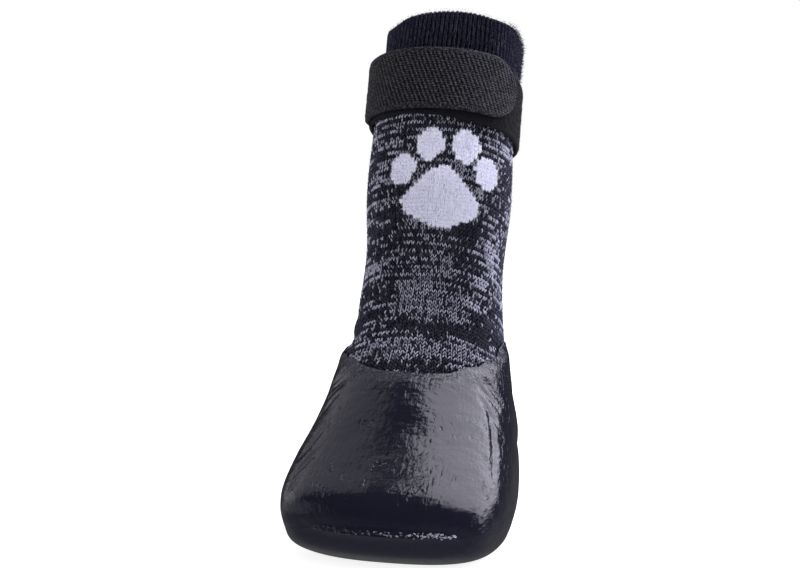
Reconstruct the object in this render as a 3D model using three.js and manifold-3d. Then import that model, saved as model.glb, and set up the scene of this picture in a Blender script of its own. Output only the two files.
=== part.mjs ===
// Dog sock: a knitted sock dipped in rubber up to the ankle, with a two-part tape strap round its cuff.
// Millimetres, +Z up. The sole lies flat on z = 0 and the toe points along -Y.
import * as THREE from "three";
import { mergeVertices } from "three/addons/utils/BufferGeometryUtils.js";
import Module from "manifold-3d";

const wasm = await Module();
wasm.setup();

// Sections of the knit's outer face, from the collar down the shaft and along the foot to the toe seam.
// front and rear are the section's foremost and rearmost points: [mm behind the toe tip, mm above the floor].
// half is half its width, side how far its middle lies towards +X, bow how far its sides lie behind its middle.
// power is how square its front and rear halves are: 2 is an ellipse.
const SECTIONS = [
  { at: "rim", front: [83, 163], rear: [119, 148], half: 21.6, side: 0.9, bow: 0, power: [2.2, 2.2] },
  { at: "cuff", front: [76.5, 150.5], rear: [118, 137.5], half: 21.4, side: 0.8, bow: 0, power: [2.2, 2.2] },
  { at: "strap", front: [69.5, 131.5], rear: [114, 118], half: 22.2, side: 0, bow: 0, power: [2.2, 2.2] },
  { at: "shaft", front: [64, 112], rear: [110, 97], half: 22.9, side: 0, bow: 0, power: [2.2, 2.2] },
  { at: "ankle", front: [60, 90.5], rear: [105.5, 72], half: 21.6, side: 0, bow: 0, power: [2.2, 2.2] },
  { at: "bend", front: [53.5, 71.5], rear: [103, 44.5], half: 23.9, side: 0, bow: 0, power: [2.2, 2.2] },
  { at: "instep", front: [42.5, 56.5], rear: [103, 21], half: 27.5, side: 0, bow: 0, power: [2.2, 2.4] },
  { at: "counter", front: [37, 50.8], rear: [100.5, 8.5], half: 29, side: 0, bow: 0, power: [2.2, 2.7] },
  { at: "heel", front: [31.5, 45], rear: [92.5, 1], half: 30.2, side: 0, bow: 0, power: [2.3, 3] },
  { at: "waist", front: [22, 35.5], rear: [70.5, 0], half: 31.6, side: 0, bow: 0, power: [2.4, 3.2] },
  { at: "ball", front: [12.5, 27.8], rear: [45.5, 0.5], half: 31.5, side: 0.2, bow: 1, power: [2.5, 3.2] },
  { at: "toe_box", front: [4.8, 22], rear: [24, 2.2], half: 29.3, side: 0.5, bow: 3, power: [2.6, 3] },
  { at: "toe_face", front: [1.9, 17.2], rear: [9.5, 6.5], half: 26.6, side: 1.2, bow: 5, power: [2.6, 2.6] },
  { at: "toe_seam", front: [1.5, 12.2], rear: [1.5, 12.2], half: 22, side: 2.2, bow: 6, power: [2.4, 2.4] },
];
const rowOf = (name) => SECTIONS.findIndex((row) => row.at === name);
const CUFF = rowOf("cuff");
const STRAP = rowOf("strap");
const SHAFT = rowOf("shaft");
const ANKLE = rowOf("ankle");
const SEAM = rowOf("toe_seam");

// Knit
const KNIT_WALL = 1.8;
const CUFF_WALL = 2.4;

// Rubber dip
const RUBBER_CLEARANCE = 0.3;
const RUBBER_SIDE = 1.0;
const RUBBER_UNDERFOOT = 2.5;
const RUBBER_TURN = 0.25; // how far a face leans down, 0 to 1, before the rubber on it thickens
const DIP_HEIGHT = 52.8; // of the dip line, on the instep
const DIP_INSTEP = 45; // how far behind the toe tip the line crosses the instep
const DIP_RISE = 0.11; // of the line, for each mm towards the heel
const SEAM_RIDGE = 0.7;
const SEAM_RIDGE_REACH = 0.2; // how far the ridge reaches towards the toe face, as a share of the way there
const KNIT_FLOOR = RUBBER_CLEARANCE + RUBBER_UNDERFOOT;

// Tape strap. Angles run from the front, 0, to the wearer's left, 90, and on to the back, 180.
// lower is how far a tape's lower edge lies below the strap's section.
const TAPE_WIDTH = 20;
const TAPE_CLEARANCE = 0.6;
const LOOP_TAPE = { thick: 1.3, from: -65, to: 184, lower: 2.8, round: false };
const HOOK_TAPE = { thick: 1.4, from: -205, to: 68, lower: 0, round: true };
const TAPE_STEP = 6; // degrees
const TAPE_RAMP = 12; // degrees over which the hook tape climbs onto the loop tape
const TAPE_LAYER_GAP = 0.3;
const TAPE_END_TURNS = [70, 50, 33, 19, 8]; // degrees round the free end at which it has stations

// Fineness of the faceted skins
const AROUND = 44;
const SHAFT_STEPS = 2; // rings from one section to the next, above the ankle
const FOOT_STEPS = 3; // and below it
const TOE_STEPS = 2; // and from the toe face to the seam
const SAME_PLACE = 1e-4;

// Finishes
const FINISHES = {
  knit_sock: { color: 0x2a2c3d, roughness: 0.95, metalness: 0 },
  rubber_sole: { color: 0x15151b, roughness: 0.3, metalness: 0 },
  loop_strap: { color: 0x0c0c10, roughness: 0.95, metalness: 0 },
  hook_strap: { color: 0x26272b, roughness: 0.8, metalness: 0 },
};

// Interpolation of the section table

const columnsOf = (row) => [...row.front, ...row.rear, row.half, row.side, row.bow, ...row.power];
const TABLE = SECTIONS.map(columnsOf);

// A smooth curve through four numbers, at fraction f of the way from b to c.
function smoothThrough(a, b, c, d, f) {
  const slopeIn = (c - a) / 2;
  const slopeOut = (d - b) / 2;
  const f2 = f * f;
  const f3 = f2 * f;
  return b * (2 * f3 - 3 * f2 + 1) + slopeIn * (f3 - 2 * f2 + f) + c * (3 * f2 - 2 * f3) + slopeOut * (f3 - f2);
}

// The section at a whole or fractional row number.
function sectionAt(row) {
  const start = Math.min(Math.floor(row), SEAM - 1);
  const next = start + 1;
  const columns = TABLE[start].map((value, k) => {
    const following = TABLE[next][k];
    const before = start > 0 ? TABLE[start - 1][k] : 2 * value - following;
    const after = next < SEAM ? TABLE[next + 1][k] : 2 * following - value;
    return smoothThrough(before, value, following, after, row - start);
  });
  const [frontBack, frontUp, rearBack, rearUp, half, side, bow, frontPower, rearPower] = columns;
  return { frontBack, frontUp, rearBack, rearUp, half, side, bow, frontPower, rearPower };
}

const softPower = (value, exponent) => Math.sign(value) * Math.abs(value) ** exponent;

// A point of the knit's outer face: angle 0 is the section's front, and positive angles turn towards +X.
function knitPoint(row, angle) {
  const s = sectionAt(row);
  const cos = Math.cos(angle);
  const sin = Math.sin(angle);
  const frontShare = (1 + cos) / 2;
  const exponent = 2 / (s.frontPower * frontShare + s.rearPower * (1 - frontShare));
  const ahead = softPower(cos, exponent);
  const across = softPower(sin, exponent);
  const back = (s.frontBack + s.rearBack) / 2 + ((s.frontBack - s.rearBack) / 2) * ahead + s.bow * across ** 2;
  const up = (s.frontUp + s.rearUp) / 2 + ((s.frontUp - s.rearUp) / 2) * ahead;
  return new THREE.Vector3(s.side + s.half * across, back, Math.max(up, KNIT_FLOOR));
}

// Skins: rings of points, joined into closed meshes

const ANGLES = Array.from({ length: AROUND }, (_, k) => (k / AROUND) * 2 * Math.PI);

// Row numbers of the rings from one row to the toe seam.
function ringRows(first) {
  const rows = [];
  for (let row = 0; row < SEAM; row += 1) {
    const steps = row < ANKLE ? SHAFT_STEPS : row < SEAM - 1 ? FOOT_STEPS : TOE_STEPS;
    for (let step = 0; step < steps; step += 1) {
      rows.push(row + step / steps);
    }
  }
  rows.push(SEAM);
  return rows.filter((row) => row >= first);
}

// Triangles between neighbouring rings of `around` points each.
function ringFaces(rings, around, firstPoint = 0) {
  const faces = [];
  for (let ring = 0; ring + 1 < rings; ring += 1) {
    for (let k = 0; k < around; k += 1) {
      const a = firstPoint + ring * around + k;
      const b = firstPoint + ring * around + ((k + 1) % around);
      faces.push(a, a + around, b, b, a + around, b + around);
    }
  }
  return faces;
}

function meshOf(points, faces) {
  const geometry = new THREE.BufferGeometry();
  geometry.setAttribute("position", new THREE.Float32BufferAttribute(points.flatMap((p) => p.toArray()), 3));
  geometry.setIndex(faces);
  return geometry;
}

// The knit's outer face as points with outward normals. At the toe seam the two layers share their points.
function knitSkin(rows) {
  const points = rows.flatMap((row) => ANGLES.map((angle) => knitPoint(row, angle)));
  const faces = ringFaces(rows.length, AROUND);
  const last = (rows.length - 1) * AROUND;
  const twin = (index) => (index < last ? index : last + Math.min(index - last, seamTwin(index - last)));
  const shared = meshOf(points, faces.map(twin));
  shared.computeVertexNormals();
  const normals = shared.getAttribute("normal");
  const normalAt = (index) => new THREE.Vector3().fromBufferAttribute(normals, twin(index));
  return { rows, points, normals: points.map((_, index) => normalAt(index)) };
}

// The point of the seam ring that lies in the same place on the other layer.
const seamTwin = (k) => (AROUND / 2 - k + AROUND) % AROUND;

// Points of a skin moved outwards by a distance worked out for each of them, and never below the floor.
function movedOut(skin, distance) {
  return skin.points.map((point, index) => {
    const row = skin.rows[Math.floor(index / AROUND)];
    const moved = point.clone().addScaledVector(skin.normals[index], distance(row, skin.normals[index]));
    return moved.setZ(Math.max(moved.z, 0));
  });
}

// A skin closed by a fan of triangles over its first ring.
function cappedSolid(points) {
  const faces = ringFaces(points.length / AROUND, AROUND);
  for (let k = 1; k + 1 < AROUND; k += 1) {
    faces.push(0, k, k + 1);
  }
  return solidOf(meshOf(points, faces));
}

// Booleans

function solidOf(geometry) {
  const plain = geometry.clone();
  plain.deleteAttribute("normal");
  plain.deleteAttribute("uv");
  const merged = mergeVertices(plain, SAME_PLACE);
  const vertProperties = new Float32Array(merged.getAttribute("position").array);
  const triVerts = new Uint32Array(withoutSlivers(merged.index.array));
  return new wasm.Manifold(new wasm.Mesh({ numProp: 3, vertProperties, triVerts }));
}

// Leaves out triangles that lost a side when points in one place were merged.
function withoutSlivers(indices) {
  const kept = [];
  for (let i = 0; i < indices.length; i += 3) {
    const [a, b, c] = indices.slice(i, i + 3);
    if (a !== b && b !== c && c !== a) {
      kept.push(a, b, c);
    }
  }
  return kept;
}

function geometryOf(solid) {
  const { vertProperties, triVerts } = solid.getMesh();
  const geometry = new THREE.BufferGeometry();
  geometry.setAttribute("position", new THREE.BufferAttribute(new Float32Array(vertProperties), 3));
  geometry.setIndex(new THREE.BufferAttribute(new Uint32Array(triVerts), 1));
  geometry.computeVertexNormals();
  return geometry;
}

// Knitted sock: one wall, open at the collar and thicker in the cuff

function knitWall(row) {
  return THREE.MathUtils.lerp(CUFF_WALL, KNIT_WALL, THREE.MathUtils.smoothstep(row, CUFF, SHAFT));
}

function knittedSock() {
  const skin = knitSkin(ringRows(0));
  const inner = movedOut(skin, (row) => -knitWall(row));
  const rings = skin.rows.length;
  const inside = skin.points.length;
  const faces = ringFaces(rings, AROUND);
  const innerFaces = ringFaces(rings, AROUND, inside);
  for (let i = 0; i < innerFaces.length; i += 3) {
    faces.push(innerFaces[i], innerFaces[i + 2], innerFaces[i + 1]);
  }
  for (let k = 0; k < AROUND; k += 1) {
    const next = (k + 1) % AROUND;
    faces.push(k, next, inside + k, next, inside + next, inside + k);
  }
  return geometryOf(solidOf(meshOf([...skin.points, ...inner], faces)));
}

// Rubber dip: the space between two skins, cut off at the dip line

function rubberThickness(normal) {
  const under = THREE.MathUtils.smoothstep(-normal.z, RUBBER_TURN, 1);
  return THREE.MathUtils.lerp(RUBBER_SIDE, RUBBER_UNDERFOOT, under);
}

// A block under the sloping plane of the dip line.
function belowDipLine() {
  const size = 400;
  const block = new THREE.BoxGeometry(size, size, size);
  block.translate(0, 0, -size / 2);
  block.rotateX(Math.atan(DIP_RISE));
  block.translate(0, DIP_INSTEP, DIP_HEIGHT);
  return solidOf(block);
}

function rubberSole() {
  const rows = ringRows(ANKLE);
  rows.splice(rows.length - 1, 0, SEAM - SEAM_RIDGE_REACH);
  const outerSkin = knitSkin(rows);
  const ridge = (row) => (row === SEAM ? SEAM_RIDGE : 0);
  const outer = movedOut(outerSkin, (row, normal) => RUBBER_CLEARANCE + rubberThickness(normal) + ridge(row));
  const inner = movedOut(knitSkin(ringRows(ANKLE - 1)), () => RUBBER_CLEARANCE);
  return geometryOf(cappedSolid(outer).subtract(cappedSolid(inner)).intersect(belowDipLine()));
}

// Tape strap: bands of one width round the shaft, straight up from the strap's section

const RADIAN = Math.PI / 180;
const strapAxis = new THREE.Vector3()
  .add(knitPoint(CUFF, 0))
  .add(knitPoint(CUFF, Math.PI))
  .sub(knitPoint(STRAP, 0))
  .sub(knitPoint(STRAP, Math.PI))
  .setX(0)
  .normalize();
const strapRadius = SECTIONS[STRAP].half;

// A point of a tape: degrees round the shaft, mm up from the strap's lower edge, and mm out from the knit.
function tapePoint(degrees, up, out) {
  const angle = degrees * RADIAN;
  const nudge = 0.5 * RADIAN;
  const ahead = knitPoint(STRAP, angle + nudge);
  const behind = knitPoint(STRAP, angle - nudge);
  const outward = ahead.sub(behind).cross(strapAxis).normalize();
  return knitPoint(STRAP, angle).addScaledVector(strapAxis, up).addScaledVector(outward, out);
}

// How far out the hook tape lies: on the knit, or on the loop tape at the front and at the sewn ends.
function hookLift(degrees) {
  const { smoothstep } = THREE.MathUtils;
  const front = smoothstep(degrees, LOOP_TAPE.from - TAPE_RAMP, LOOP_TAPE.from - 1);
  const sewnEnd = LOOP_TAPE.to - 360;
  const back = 1 - smoothstep(degrees, sewnEnd + 1, sewnEnd + TAPE_RAMP);
  return TAPE_CLEARANCE + Math.max(front, back) * (LOOP_TAPE.thick + TAPE_LAYER_GAP);
}

// The band's stations: degrees round the shaft, and half the height of the band there.
function tapeStations(tape) {
  const halfWidth = TAPE_WIDTH / 2;
  const roundDegrees = tape.round ? halfWidth / strapRadius / RADIAN : 0;
  const straightEnd = tape.to - roundDegrees;
  const count = Math.round((straightEnd - tape.from) / TAPE_STEP);
  const stations = [];
  for (let k = 0; k <= count; k += 1) {
    stations.push({ degrees: THREE.MathUtils.lerp(tape.from, straightEnd, k / count), halfHeight: halfWidth });
  }
  const roundTurns = tape.round ? TAPE_END_TURNS : [];
  for (const turn of roundTurns) {
    const along = Math.cos(turn * RADIAN) * roundDegrees;
    stations.push({ degrees: straightEnd + along, halfHeight: Math.sin(turn * RADIAN) * halfWidth });
  }
  return stations;
}

function tapeBand(tape, lift) {
  const middle = TAPE_WIDTH / 2 - tape.lower;
  const stations = tapeStations(tape);
  const points = stations.flatMap(({ degrees, halfHeight }) => {
    const inside = lift(degrees);
    const outside = inside + tape.thick;
    return [
      tapePoint(degrees, middle - halfHeight, inside),
      tapePoint(degrees, middle - halfHeight, outside),
      tapePoint(degrees, middle + halfHeight, outside),
      tapePoint(degrees, middle + halfHeight, inside),
    ];
  });
  const corners = 4;
  const end = (stations.length - 1) * corners;
  const faces = ringFaces(stations.length, corners);
  faces.push(0, 1, 2, 0, 2, 3, end, end + 2, end + 1, end, end + 3, end + 2);
  return geometryOf(solidOf(meshOf(points, faces)));
}

// Assembly

const sock = new THREE.Group();

function addPiece(name, geometry) {
  const piece = new THREE.Mesh(geometry, new THREE.MeshStandardMaterial(FINISHES[name]));
  piece.name = name;
  sock.add(piece);
}

addPiece("knit_sock", knittedSock());
addPiece("rubber_sole", rubberSole());
addPiece("loop_strap", tapeBand(LOOP_TAPE, () => TAPE_CLEARANCE));
addPiece("hook_strap", tapeBand(HOOK_TAPE, hookLift));

// The origin is the middle of the box's underside.
const box = new THREE.Box3().setFromObject(sock);
const centre = box.getCenter(new THREE.Vector3());
sock.position.set(-centre.x, -centre.y, -box.min.z);

export default sock;
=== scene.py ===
"""Dog sock: a melange knit with a rib cuff and a paw print, a rubber-dipped foot and a two-tape strap."""
import math

import bpy
import numpy as np
from mathutils import Matrix, Quaternion, Vector


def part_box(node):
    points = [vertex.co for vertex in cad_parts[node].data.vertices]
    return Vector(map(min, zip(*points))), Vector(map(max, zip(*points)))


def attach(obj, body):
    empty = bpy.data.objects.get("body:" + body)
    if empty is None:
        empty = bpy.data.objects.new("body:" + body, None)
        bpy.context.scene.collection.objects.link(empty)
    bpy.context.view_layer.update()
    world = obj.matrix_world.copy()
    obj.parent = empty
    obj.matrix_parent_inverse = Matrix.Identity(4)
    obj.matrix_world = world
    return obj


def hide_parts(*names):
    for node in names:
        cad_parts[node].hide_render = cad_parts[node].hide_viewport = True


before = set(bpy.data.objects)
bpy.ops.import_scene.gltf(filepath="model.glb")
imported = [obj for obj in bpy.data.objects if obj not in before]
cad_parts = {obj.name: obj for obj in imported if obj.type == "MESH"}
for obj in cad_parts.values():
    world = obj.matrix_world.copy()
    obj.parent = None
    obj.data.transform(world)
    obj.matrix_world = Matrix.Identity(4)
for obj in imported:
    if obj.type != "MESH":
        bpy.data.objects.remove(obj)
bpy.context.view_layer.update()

MM = 0.001

# Sections of the sock from the rim down to the toe seam, in mm. u runs back from the toe tip and z up.
# Columns: front u, front z, rear u, rear z, half width, side shift, bow of the sides,
# then how square the front and the rear are, where 2 is an ellipse.
SECTIONS = {
    "rim": (83.0, 163.0, 119.0, 148.0, 21.6, 0.9, 0.0, 2.2, 2.2),
    "cuff": (76.5, 150.5, 118.0, 137.5, 21.4, 0.8, 0.0, 2.2, 2.2),
    "strap": (69.5, 131.5, 114.0, 118.0, 22.2, 0.0, 0.0, 2.2, 2.2),
    "shaft": (64.0, 112.0, 110.0, 97.0, 22.9, 0.0, 0.0, 2.2, 2.2),
    "ankle": (60.0, 90.5, 105.5, 72.0, 21.6, 0.0, 0.0, 2.2, 2.2),
    "bend": (53.5, 71.5, 103.0, 44.5, 23.9, 0.0, 0.0, 2.2, 2.2),
    "instep": (42.5, 56.5, 103.0, 21.0, 27.5, 0.0, 0.0, 2.2, 2.4),
    "counter": (37.0, 50.8, 100.5, 8.5, 29.0, 0.0, 0.0, 2.2, 2.7),
    "heel": (31.5, 45.0, 92.5, 1.0, 30.2, 0.0, 0.0, 2.3, 3.0),
    "waist": (22.0, 35.5, 70.5, 0.0, 31.6, 0.0, 0.0, 2.4, 3.2),
    "ball": (12.5, 27.8, 45.5, 0.5, 31.5, 0.2, 1.0, 2.5, 3.2),
    "toe_box": (4.8, 22.0, 24.0, 2.2, 29.3, 0.5, 3.0, 2.6, 3.0),
    "toe_face": (1.9, 17.2, 9.5, 6.5, 26.6, 1.2, 5.0, 2.6, 2.6),
    "toe_seam": (1.5, 12.2, 1.5, 12.2, 22.0, 2.2, 6.0, 2.4, 2.4),
}
ROW = {name: number for number, name in enumerate(SECTIONS)}
SECTION_TABLE = np.array(list(SECTIONS.values()))
LAST_ROW = len(SECTION_TABLE) - 1
KNIT_FLOOR = 2.8
TOE_TIP_U = 1.5

knit_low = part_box("knit_sock")[0]
FRAME_SHIFT = np.array([0.0, knit_low.y / MM - TOE_TIP_U, 0.0])

# Knit
KNIT_WALL = 1.8
CUFF_WALL = 2.4
GROUND_DEPTH = 0.75
GROUND_COLUMNS = 160
GROUND_TOP_ROW = 0.05
GROUND_SHAFT_ROWS, GROUND_FOOT_ROWS = 90, 45
GROUND_ROW_STEP = 0.2
RIM_TURN_STEPS = 9
RIM_ROUNDNESS = 0.8

# Stitches. Runs are in mm below the rim, along the front.
WALES = 122
COURSE_PITCH = 1.2
SHAFT_RUN = (27.0, 133.0)
ANKLE_RUN = 84.0
STITCH_SINK = 0.4
LIGHT_STITCH_LIFT = 0.3
WALE_WANDER = 0.3
WANDER_CELLS, WANDER_COURSES = 24, 5.0
UNDER_TAPE, UNDER_RUBBER = 2.0, 2.5
RIB_WALES = 92
RIB_COURSE_PITCH = 1.25
RIB_RUN = (1.6, 22.0)
RIB_UNDER_TAPE = 3.0
RIB_LIFT, RIB_PLUMP = 1.35, 0.85
RIB_LIGHTEST = 0.08
RIM_COURSES = 8
RIM_RISE, RIM_SINK = 0.2, 0.25
# Painted shade: how light the sides of a stitch are painted against its crown, for the shade between yarns.
RIB_SIDE_PAINTED_SHADE, PLAIN_SIDE_PAINTED_SHADE, PAW_SIDE_PAINTED_SHADE = 0.2, 0.25, 0.9

# Rubber
RUBBER_CLEARANCE = 0.3
RUBBER_SIDE = 1.0
RUBBER_UNDERFOOT = 2.5
RUBBER_TURN = 0.25
UNDERFOOT_FULL, UNDERFOOT_END = 6.5, 11.5
RUBBER_COLUMNS, RUBBER_ROWS, LINING_ROWS = 300, 200, 14
RUBBER_CROWD = -0.45
LINING_CLEARANCE = 0.12
DIP_HEIGHT = 52.8
DIP_SLOPE = 0.11
DIP_LEVEL_U = 45.0
DIP_WAVES, DIP_RIPPLES = 46, 120
DIP_RIPPLE_SHARE = 0.6
DIP_WANDER = 0.06
FILM_EDGE = 0.25
FILM_TAPER = 5.0
THIN_FILM = 9.0
LUMP_CELLS, LUMP_PITCH, LUMP_HEIGHT = 40, 4.0, 0.16
STANDING_FROM, STANDING_TO = 3.5, 7.0
SEAM_RIDGE = 0.7
SEAM_RIDGE_ROW, SEAM_RIDGE_REACH = 12.8, 0.1
SEAM_GROOVE = 0.35
SEAM_GROOVE_ROW, SEAM_GROOVE_REACH = 12.96, 0.07
SEAM_NOSE = 0.6
SEAM_FADE = 6.0
SEAM_KNOT_PITCH, SEAM_KNOT_CELLS = 1.1, 120
SEAM_KNOT_LEAST, SEAM_KNOT_ADDED = 0.35, 0.9
# Specks on the rubber: along the toe seam partly wear and partly a painted highlight on the seam's ridge,
# lighter towards +X; on the instep, wear.
SEAM_SPECKS, INSTEP_SCUFFS = 190, 12
SCUFF_ROW, SCUFF_ROW_REACH = 9.95, 0.12
SCUFF_DEGREES, SCUFF_DEGREE_REACH = -1.2, 3.5
WEAR_AND_HIGHLIGHT_FROM, WEAR_AND_HIGHLIGHT_TO = -8.0, 18.0
SPECK_LENGTHS, SPECK_WIDTHS, SPECK_SHADES = (0.3, 0.9), (0.9, 2.0), (0.15, 0.8)
SPECK_SCATTER, SPECK_LIFT = 0.25, 0.5

# Strap
TAPE_WIDTH = 20.0
TAPE_CLEARANCE = 0.6
TAPE_LAYER = 1.6
LOOP_THICK = 1.3
LOOP_LOWER = 2.8
LOOP_FROM, LOOP_TO = -65.0, 184.0
HOOK_THICK = 1.4
HOOK_FROM, HOOK_TO = -205.0, 68.0
HOOK_END_RADIUS = TAPE_WIDTH / 2
TAPE_RAMP = 12.0
TAPE_PITCH = 0.34
TAPE_COLUMNS = 65
TAPE_BACK_STEP = 8
TAPE_EDGE_STEPS = 7
HOOK_RIB_PITCH = 1.25
HOOK_RIB_LEAN = 0.4
HOOK_RIB_HEIGHT = 0.18
HOOK_ROW_PITCH = 0.75
SELVEDGE = 1.5
SELVEDGE_RIB = 0.5
PILE_PITCH, PILE_HEIGHT = 0.9, 0.35
# Cells of the noise along a tape, and a shift that keeps the places of a noise above zero.
TAPE_NOISE_CELLS, NOISE_SHIFT = 240, 60

# Sewing at the back of the strap
SEWN_FROM, SEWN_TO = HOOK_FROM + 4.0, LOOP_TO - 360.0 - 2.0
SEWN_MARGIN = 1.8
SEWN_STITCH = 2.0
SEWN_GAP = 0.1
SEWN_RISE = 0.2
SEWN_WIDTH = 1.3
SEWN_SHADE = 0.12

# Loose fibres
FUZZ_COUNT = 22000
FUZZ_RADIUS = 0.035
FUZZ_ROOT = 0.2
FUZZ_SPREAD = 0.8
CUFF_FUZZ_RUN = (-0.4, 16.0)
# The cuff's fuzz is longer and thicker on its +X side, between these sines of the angle round it.
CUFF_SIDE_FROM, CUFF_SIDE_TO = 0.75, 0.98
CUFF_FUZZ_LENGTH, CUFF_SIDE_LENGTH, CUFF_SIDE_THICKER = 0.6, 1.5, 1.2
CUFF_FUZZ_ABOVE_TAPE, SHAFT_FUZZ_BELOW_TAPE, SHAFT_FUZZ_ABOVE_DIP = 0.5, 1.0, 0.5
FUZZ_STAND = 0.8
SHAFT_FUZZ_RUN = (24.0, 124.0)
PAW_FUZZ_COUNT = 7000
LOOP_HAIR_COUNT = 3500
LOOP_HAIR_RADIUS = 0.05
LOOP_HAIR_ROOT = 0.15
LOOP_HAIR_MARGIN = 0.4
LOOP_HAIR_UNDER_HOOK = 25.0
FIBRE_POINTS = 7
FIBRE_BEND = 0.35
FIBRE_MIDDLE, FIBRE_TAPER = 0.55, 0.75

NOISE_ROWS = 400
SMALL_STEP = 1e-3

# How many samples stand for a whole line when a length, a crossing or a distance is measured.
FRONT_SAMPLES, ROUND_SAMPLES, TAPE_SAMPLES = 2601, 721, 2000
DIP_SAMPLES, CREASE_SAMPLES = 1200, 15

random = np.random.default_rng(20)


def smoothstep(value, low, high):
    share = np.clip((value - low) / (high - low), 0.0, 1.0)
    return share * share * (3.0 - 2.0 * share)


def unit(vectors):
    return vectors / np.linalg.norm(vectors, axis=-1, keepdims=True)


def turned_to_front(angle):
    """Angles brought to within half a turn of the front."""
    return (angle + np.pi) % (2 * np.pi) - np.pi


def run_along(points):
    """The mm run from the first of a line of points to each of them."""
    steps = np.linalg.norm(np.diff(points, axis=0), axis=1)
    return np.concatenate([[0.0], np.cumsum(steps)])


def section_at(row):
    """The section's columns at rows between the table's rows, eased through the rows around them."""
    ends = np.vstack([
        2 * SECTION_TABLE[0] - SECTION_TABLE[1],
        SECTION_TABLE,
        2 * SECTION_TABLE[-1] - SECTION_TABLE[-2],
    ])
    row = np.clip(row, 0, LAST_ROW)
    low = np.minimum(np.floor(row).astype(int), LAST_ROW - 1)
    share = (row - low)[..., None]
    before, here, after, beyond = (ends[low + step] for step in range(4))
    square, cube = share**2, share**3
    return (
        (2 * cube - 3 * square + 1) * here
        + (cube - 2 * square + share) * (after - before) / 2
        + (3 * square - 2 * cube) * after
        + (cube - square) * (beyond - here) / 2
    )


# Creases of the knit round the ankle, in the sock's own rows and degrees round it.
# Columns: row and angle at one end and at the other, width in mm, depth in mm (a ridge is below zero).
KNIT_CREASES = (
    (5.44, 34.0, 5.05, 88.0, 2.6, 1.7),
    (5.64, 32.0, 5.25, 84.0, 2.2, -0.8),
    (4.70, 42.0, 4.80, 82.0, 2.6, 0.9),
    (4.95, 40.0, 4.98, 84.0, 2.2, -0.5),
    (5.42, -38.0, 5.08, -88.0, 2.6, 1.2),
    (5.64, -36.0, 5.28, -82.0, 2.2, -0.6),
    (4.74, -44.0, 4.84, -84.0, 2.6, 0.7),
)
ROW_PITCH = 19.0
LEG_RADIUS = 24.0
CREASE_FADE = 0.7

# Where the rim stands higher or lower. Columns: degrees round the sock, reach in degrees, lift in mm.
RIM_LIFTS = (
    (12.0, 42.0, 1.36),
    (68.0, 18.0, 1.1),
    (-52.0, 14.0, -0.75),
)


def rim_lift(angle):
    """How far the rim stands above its plane at angles, in mm."""
    degrees = np.degrees(turned_to_front(angle))
    return sum(lift * np.exp(-(((degrees - middle) / reach) ** 2)) for middle, reach, lift in RIM_LIFTS)


def knit_crease_depth(row, angle):
    """How far the creases sink the knit at rows and angles, in mm."""
    around = turned_to_front(angle)
    sunk = np.zeros(row.shape)
    for row_from, angle_from, row_to, angle_to, width, depth in KNIT_CREASES:
        run = np.array([row_to - row_from, math.radians(angle_to - angle_from)])
        run = run * (ROW_PITCH, LEG_RADIUS)
        down = (row - row_from) * ROW_PITCH
        across = (around - math.radians(angle_from)) * LEG_RADIUS
        share = np.clip((down * run[0] + across * run[1]) / (run @ run), 0.0, 1.0)
        gap = np.hypot(down - share * run[0], across - share * run[1])
        sunk += depth * np.sin(np.pi * share) ** CREASE_FADE * np.exp(-((gap / width) ** 2))
    return sunk


def knit_point(row, angle):
    """Points of the knit's outer face in the frame, in mm. Angle 0 is the front and a right angle is +X."""
    row, angle = np.broadcast_arrays(np.asarray(row, float), np.asarray(angle, float))
    columns = np.moveaxis(section_at(row), -1, 0)
    front_u, front_z, rear_u, rear_z, half_width, side, bow, front_power, rear_power = columns
    forward, sideways = np.cos(angle), np.sin(angle)
    share = (1 + forward) / 2
    exponent = 2 / (front_power * share + rear_power * (1 - share))
    ahead = np.sign(forward) * np.abs(forward) ** exponent
    across = np.sign(sideways) * np.abs(sideways) ** exponent
    shrink = 1 - knit_crease_depth(row, angle) / LEG_RADIUS
    x = side + half_width * across * shrink
    u = (front_u + rear_u) / 2 + (front_u - rear_u) / 2 * ahead * shrink + bow * across**2
    z = np.maximum((front_z + rear_z) / 2 + (front_z - rear_z) / 2 * ahead, KNIT_FLOOR)
    z = z + rim_lift(angle) * (1 - smoothstep(row, ROW["rim"], ROW["cuff"]))
    return np.stack([x, u, z], -1) + FRAME_SHIFT


def knit_frame(row, angle):
    """Points of the knit's face with its unit directions along the course, up the wale and outward."""
    along = knit_point(row, angle + SMALL_STEP) - knit_point(row, angle - SMALL_STEP)
    down = knit_point(row + SMALL_STEP, angle) - knit_point(row - SMALL_STEP, angle)
    outward = unit(np.cross(down, along))
    along = unit(along)
    return knit_point(row, angle), along, np.cross(outward, along), outward


FRONT_ROWS = np.linspace(0, LAST_ROW, FRONT_SAMPLES)
FRONT_RUN = run_along(knit_point(FRONT_ROWS, 0.0))


def row_below_rim(run):
    """The row that lies this many mm below the rim along the front."""
    return np.interp(run, FRONT_RUN, FRONT_ROWS)


def run_below_rim(row):
    return np.interp(row, FRONT_ROWS, FRONT_RUN)


def angles_by_arc(rows, shares):
    """Angles at shares of the way round each row's outline, from the front, and the outlines' lengths."""
    fine = np.linspace(0.0, 2 * np.pi, ROUND_SAMPLES)
    angles, lengths = [], []
    for row in rows:
        run = run_along(knit_point(row, fine))
        angles.append(np.interp(np.asarray(shares) * run[-1], run, fine))
        lengths.append(run[-1])
    return np.array(angles), np.array(lengths)


def above_dip(points):
    """Height above the dip line's plane, in mm."""
    u = points[..., 1] - FRAME_SHIFT[1]
    return points[..., 2] - (DIP_HEIGHT + DIP_SLOPE * (u - DIP_LEVEL_U))


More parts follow.
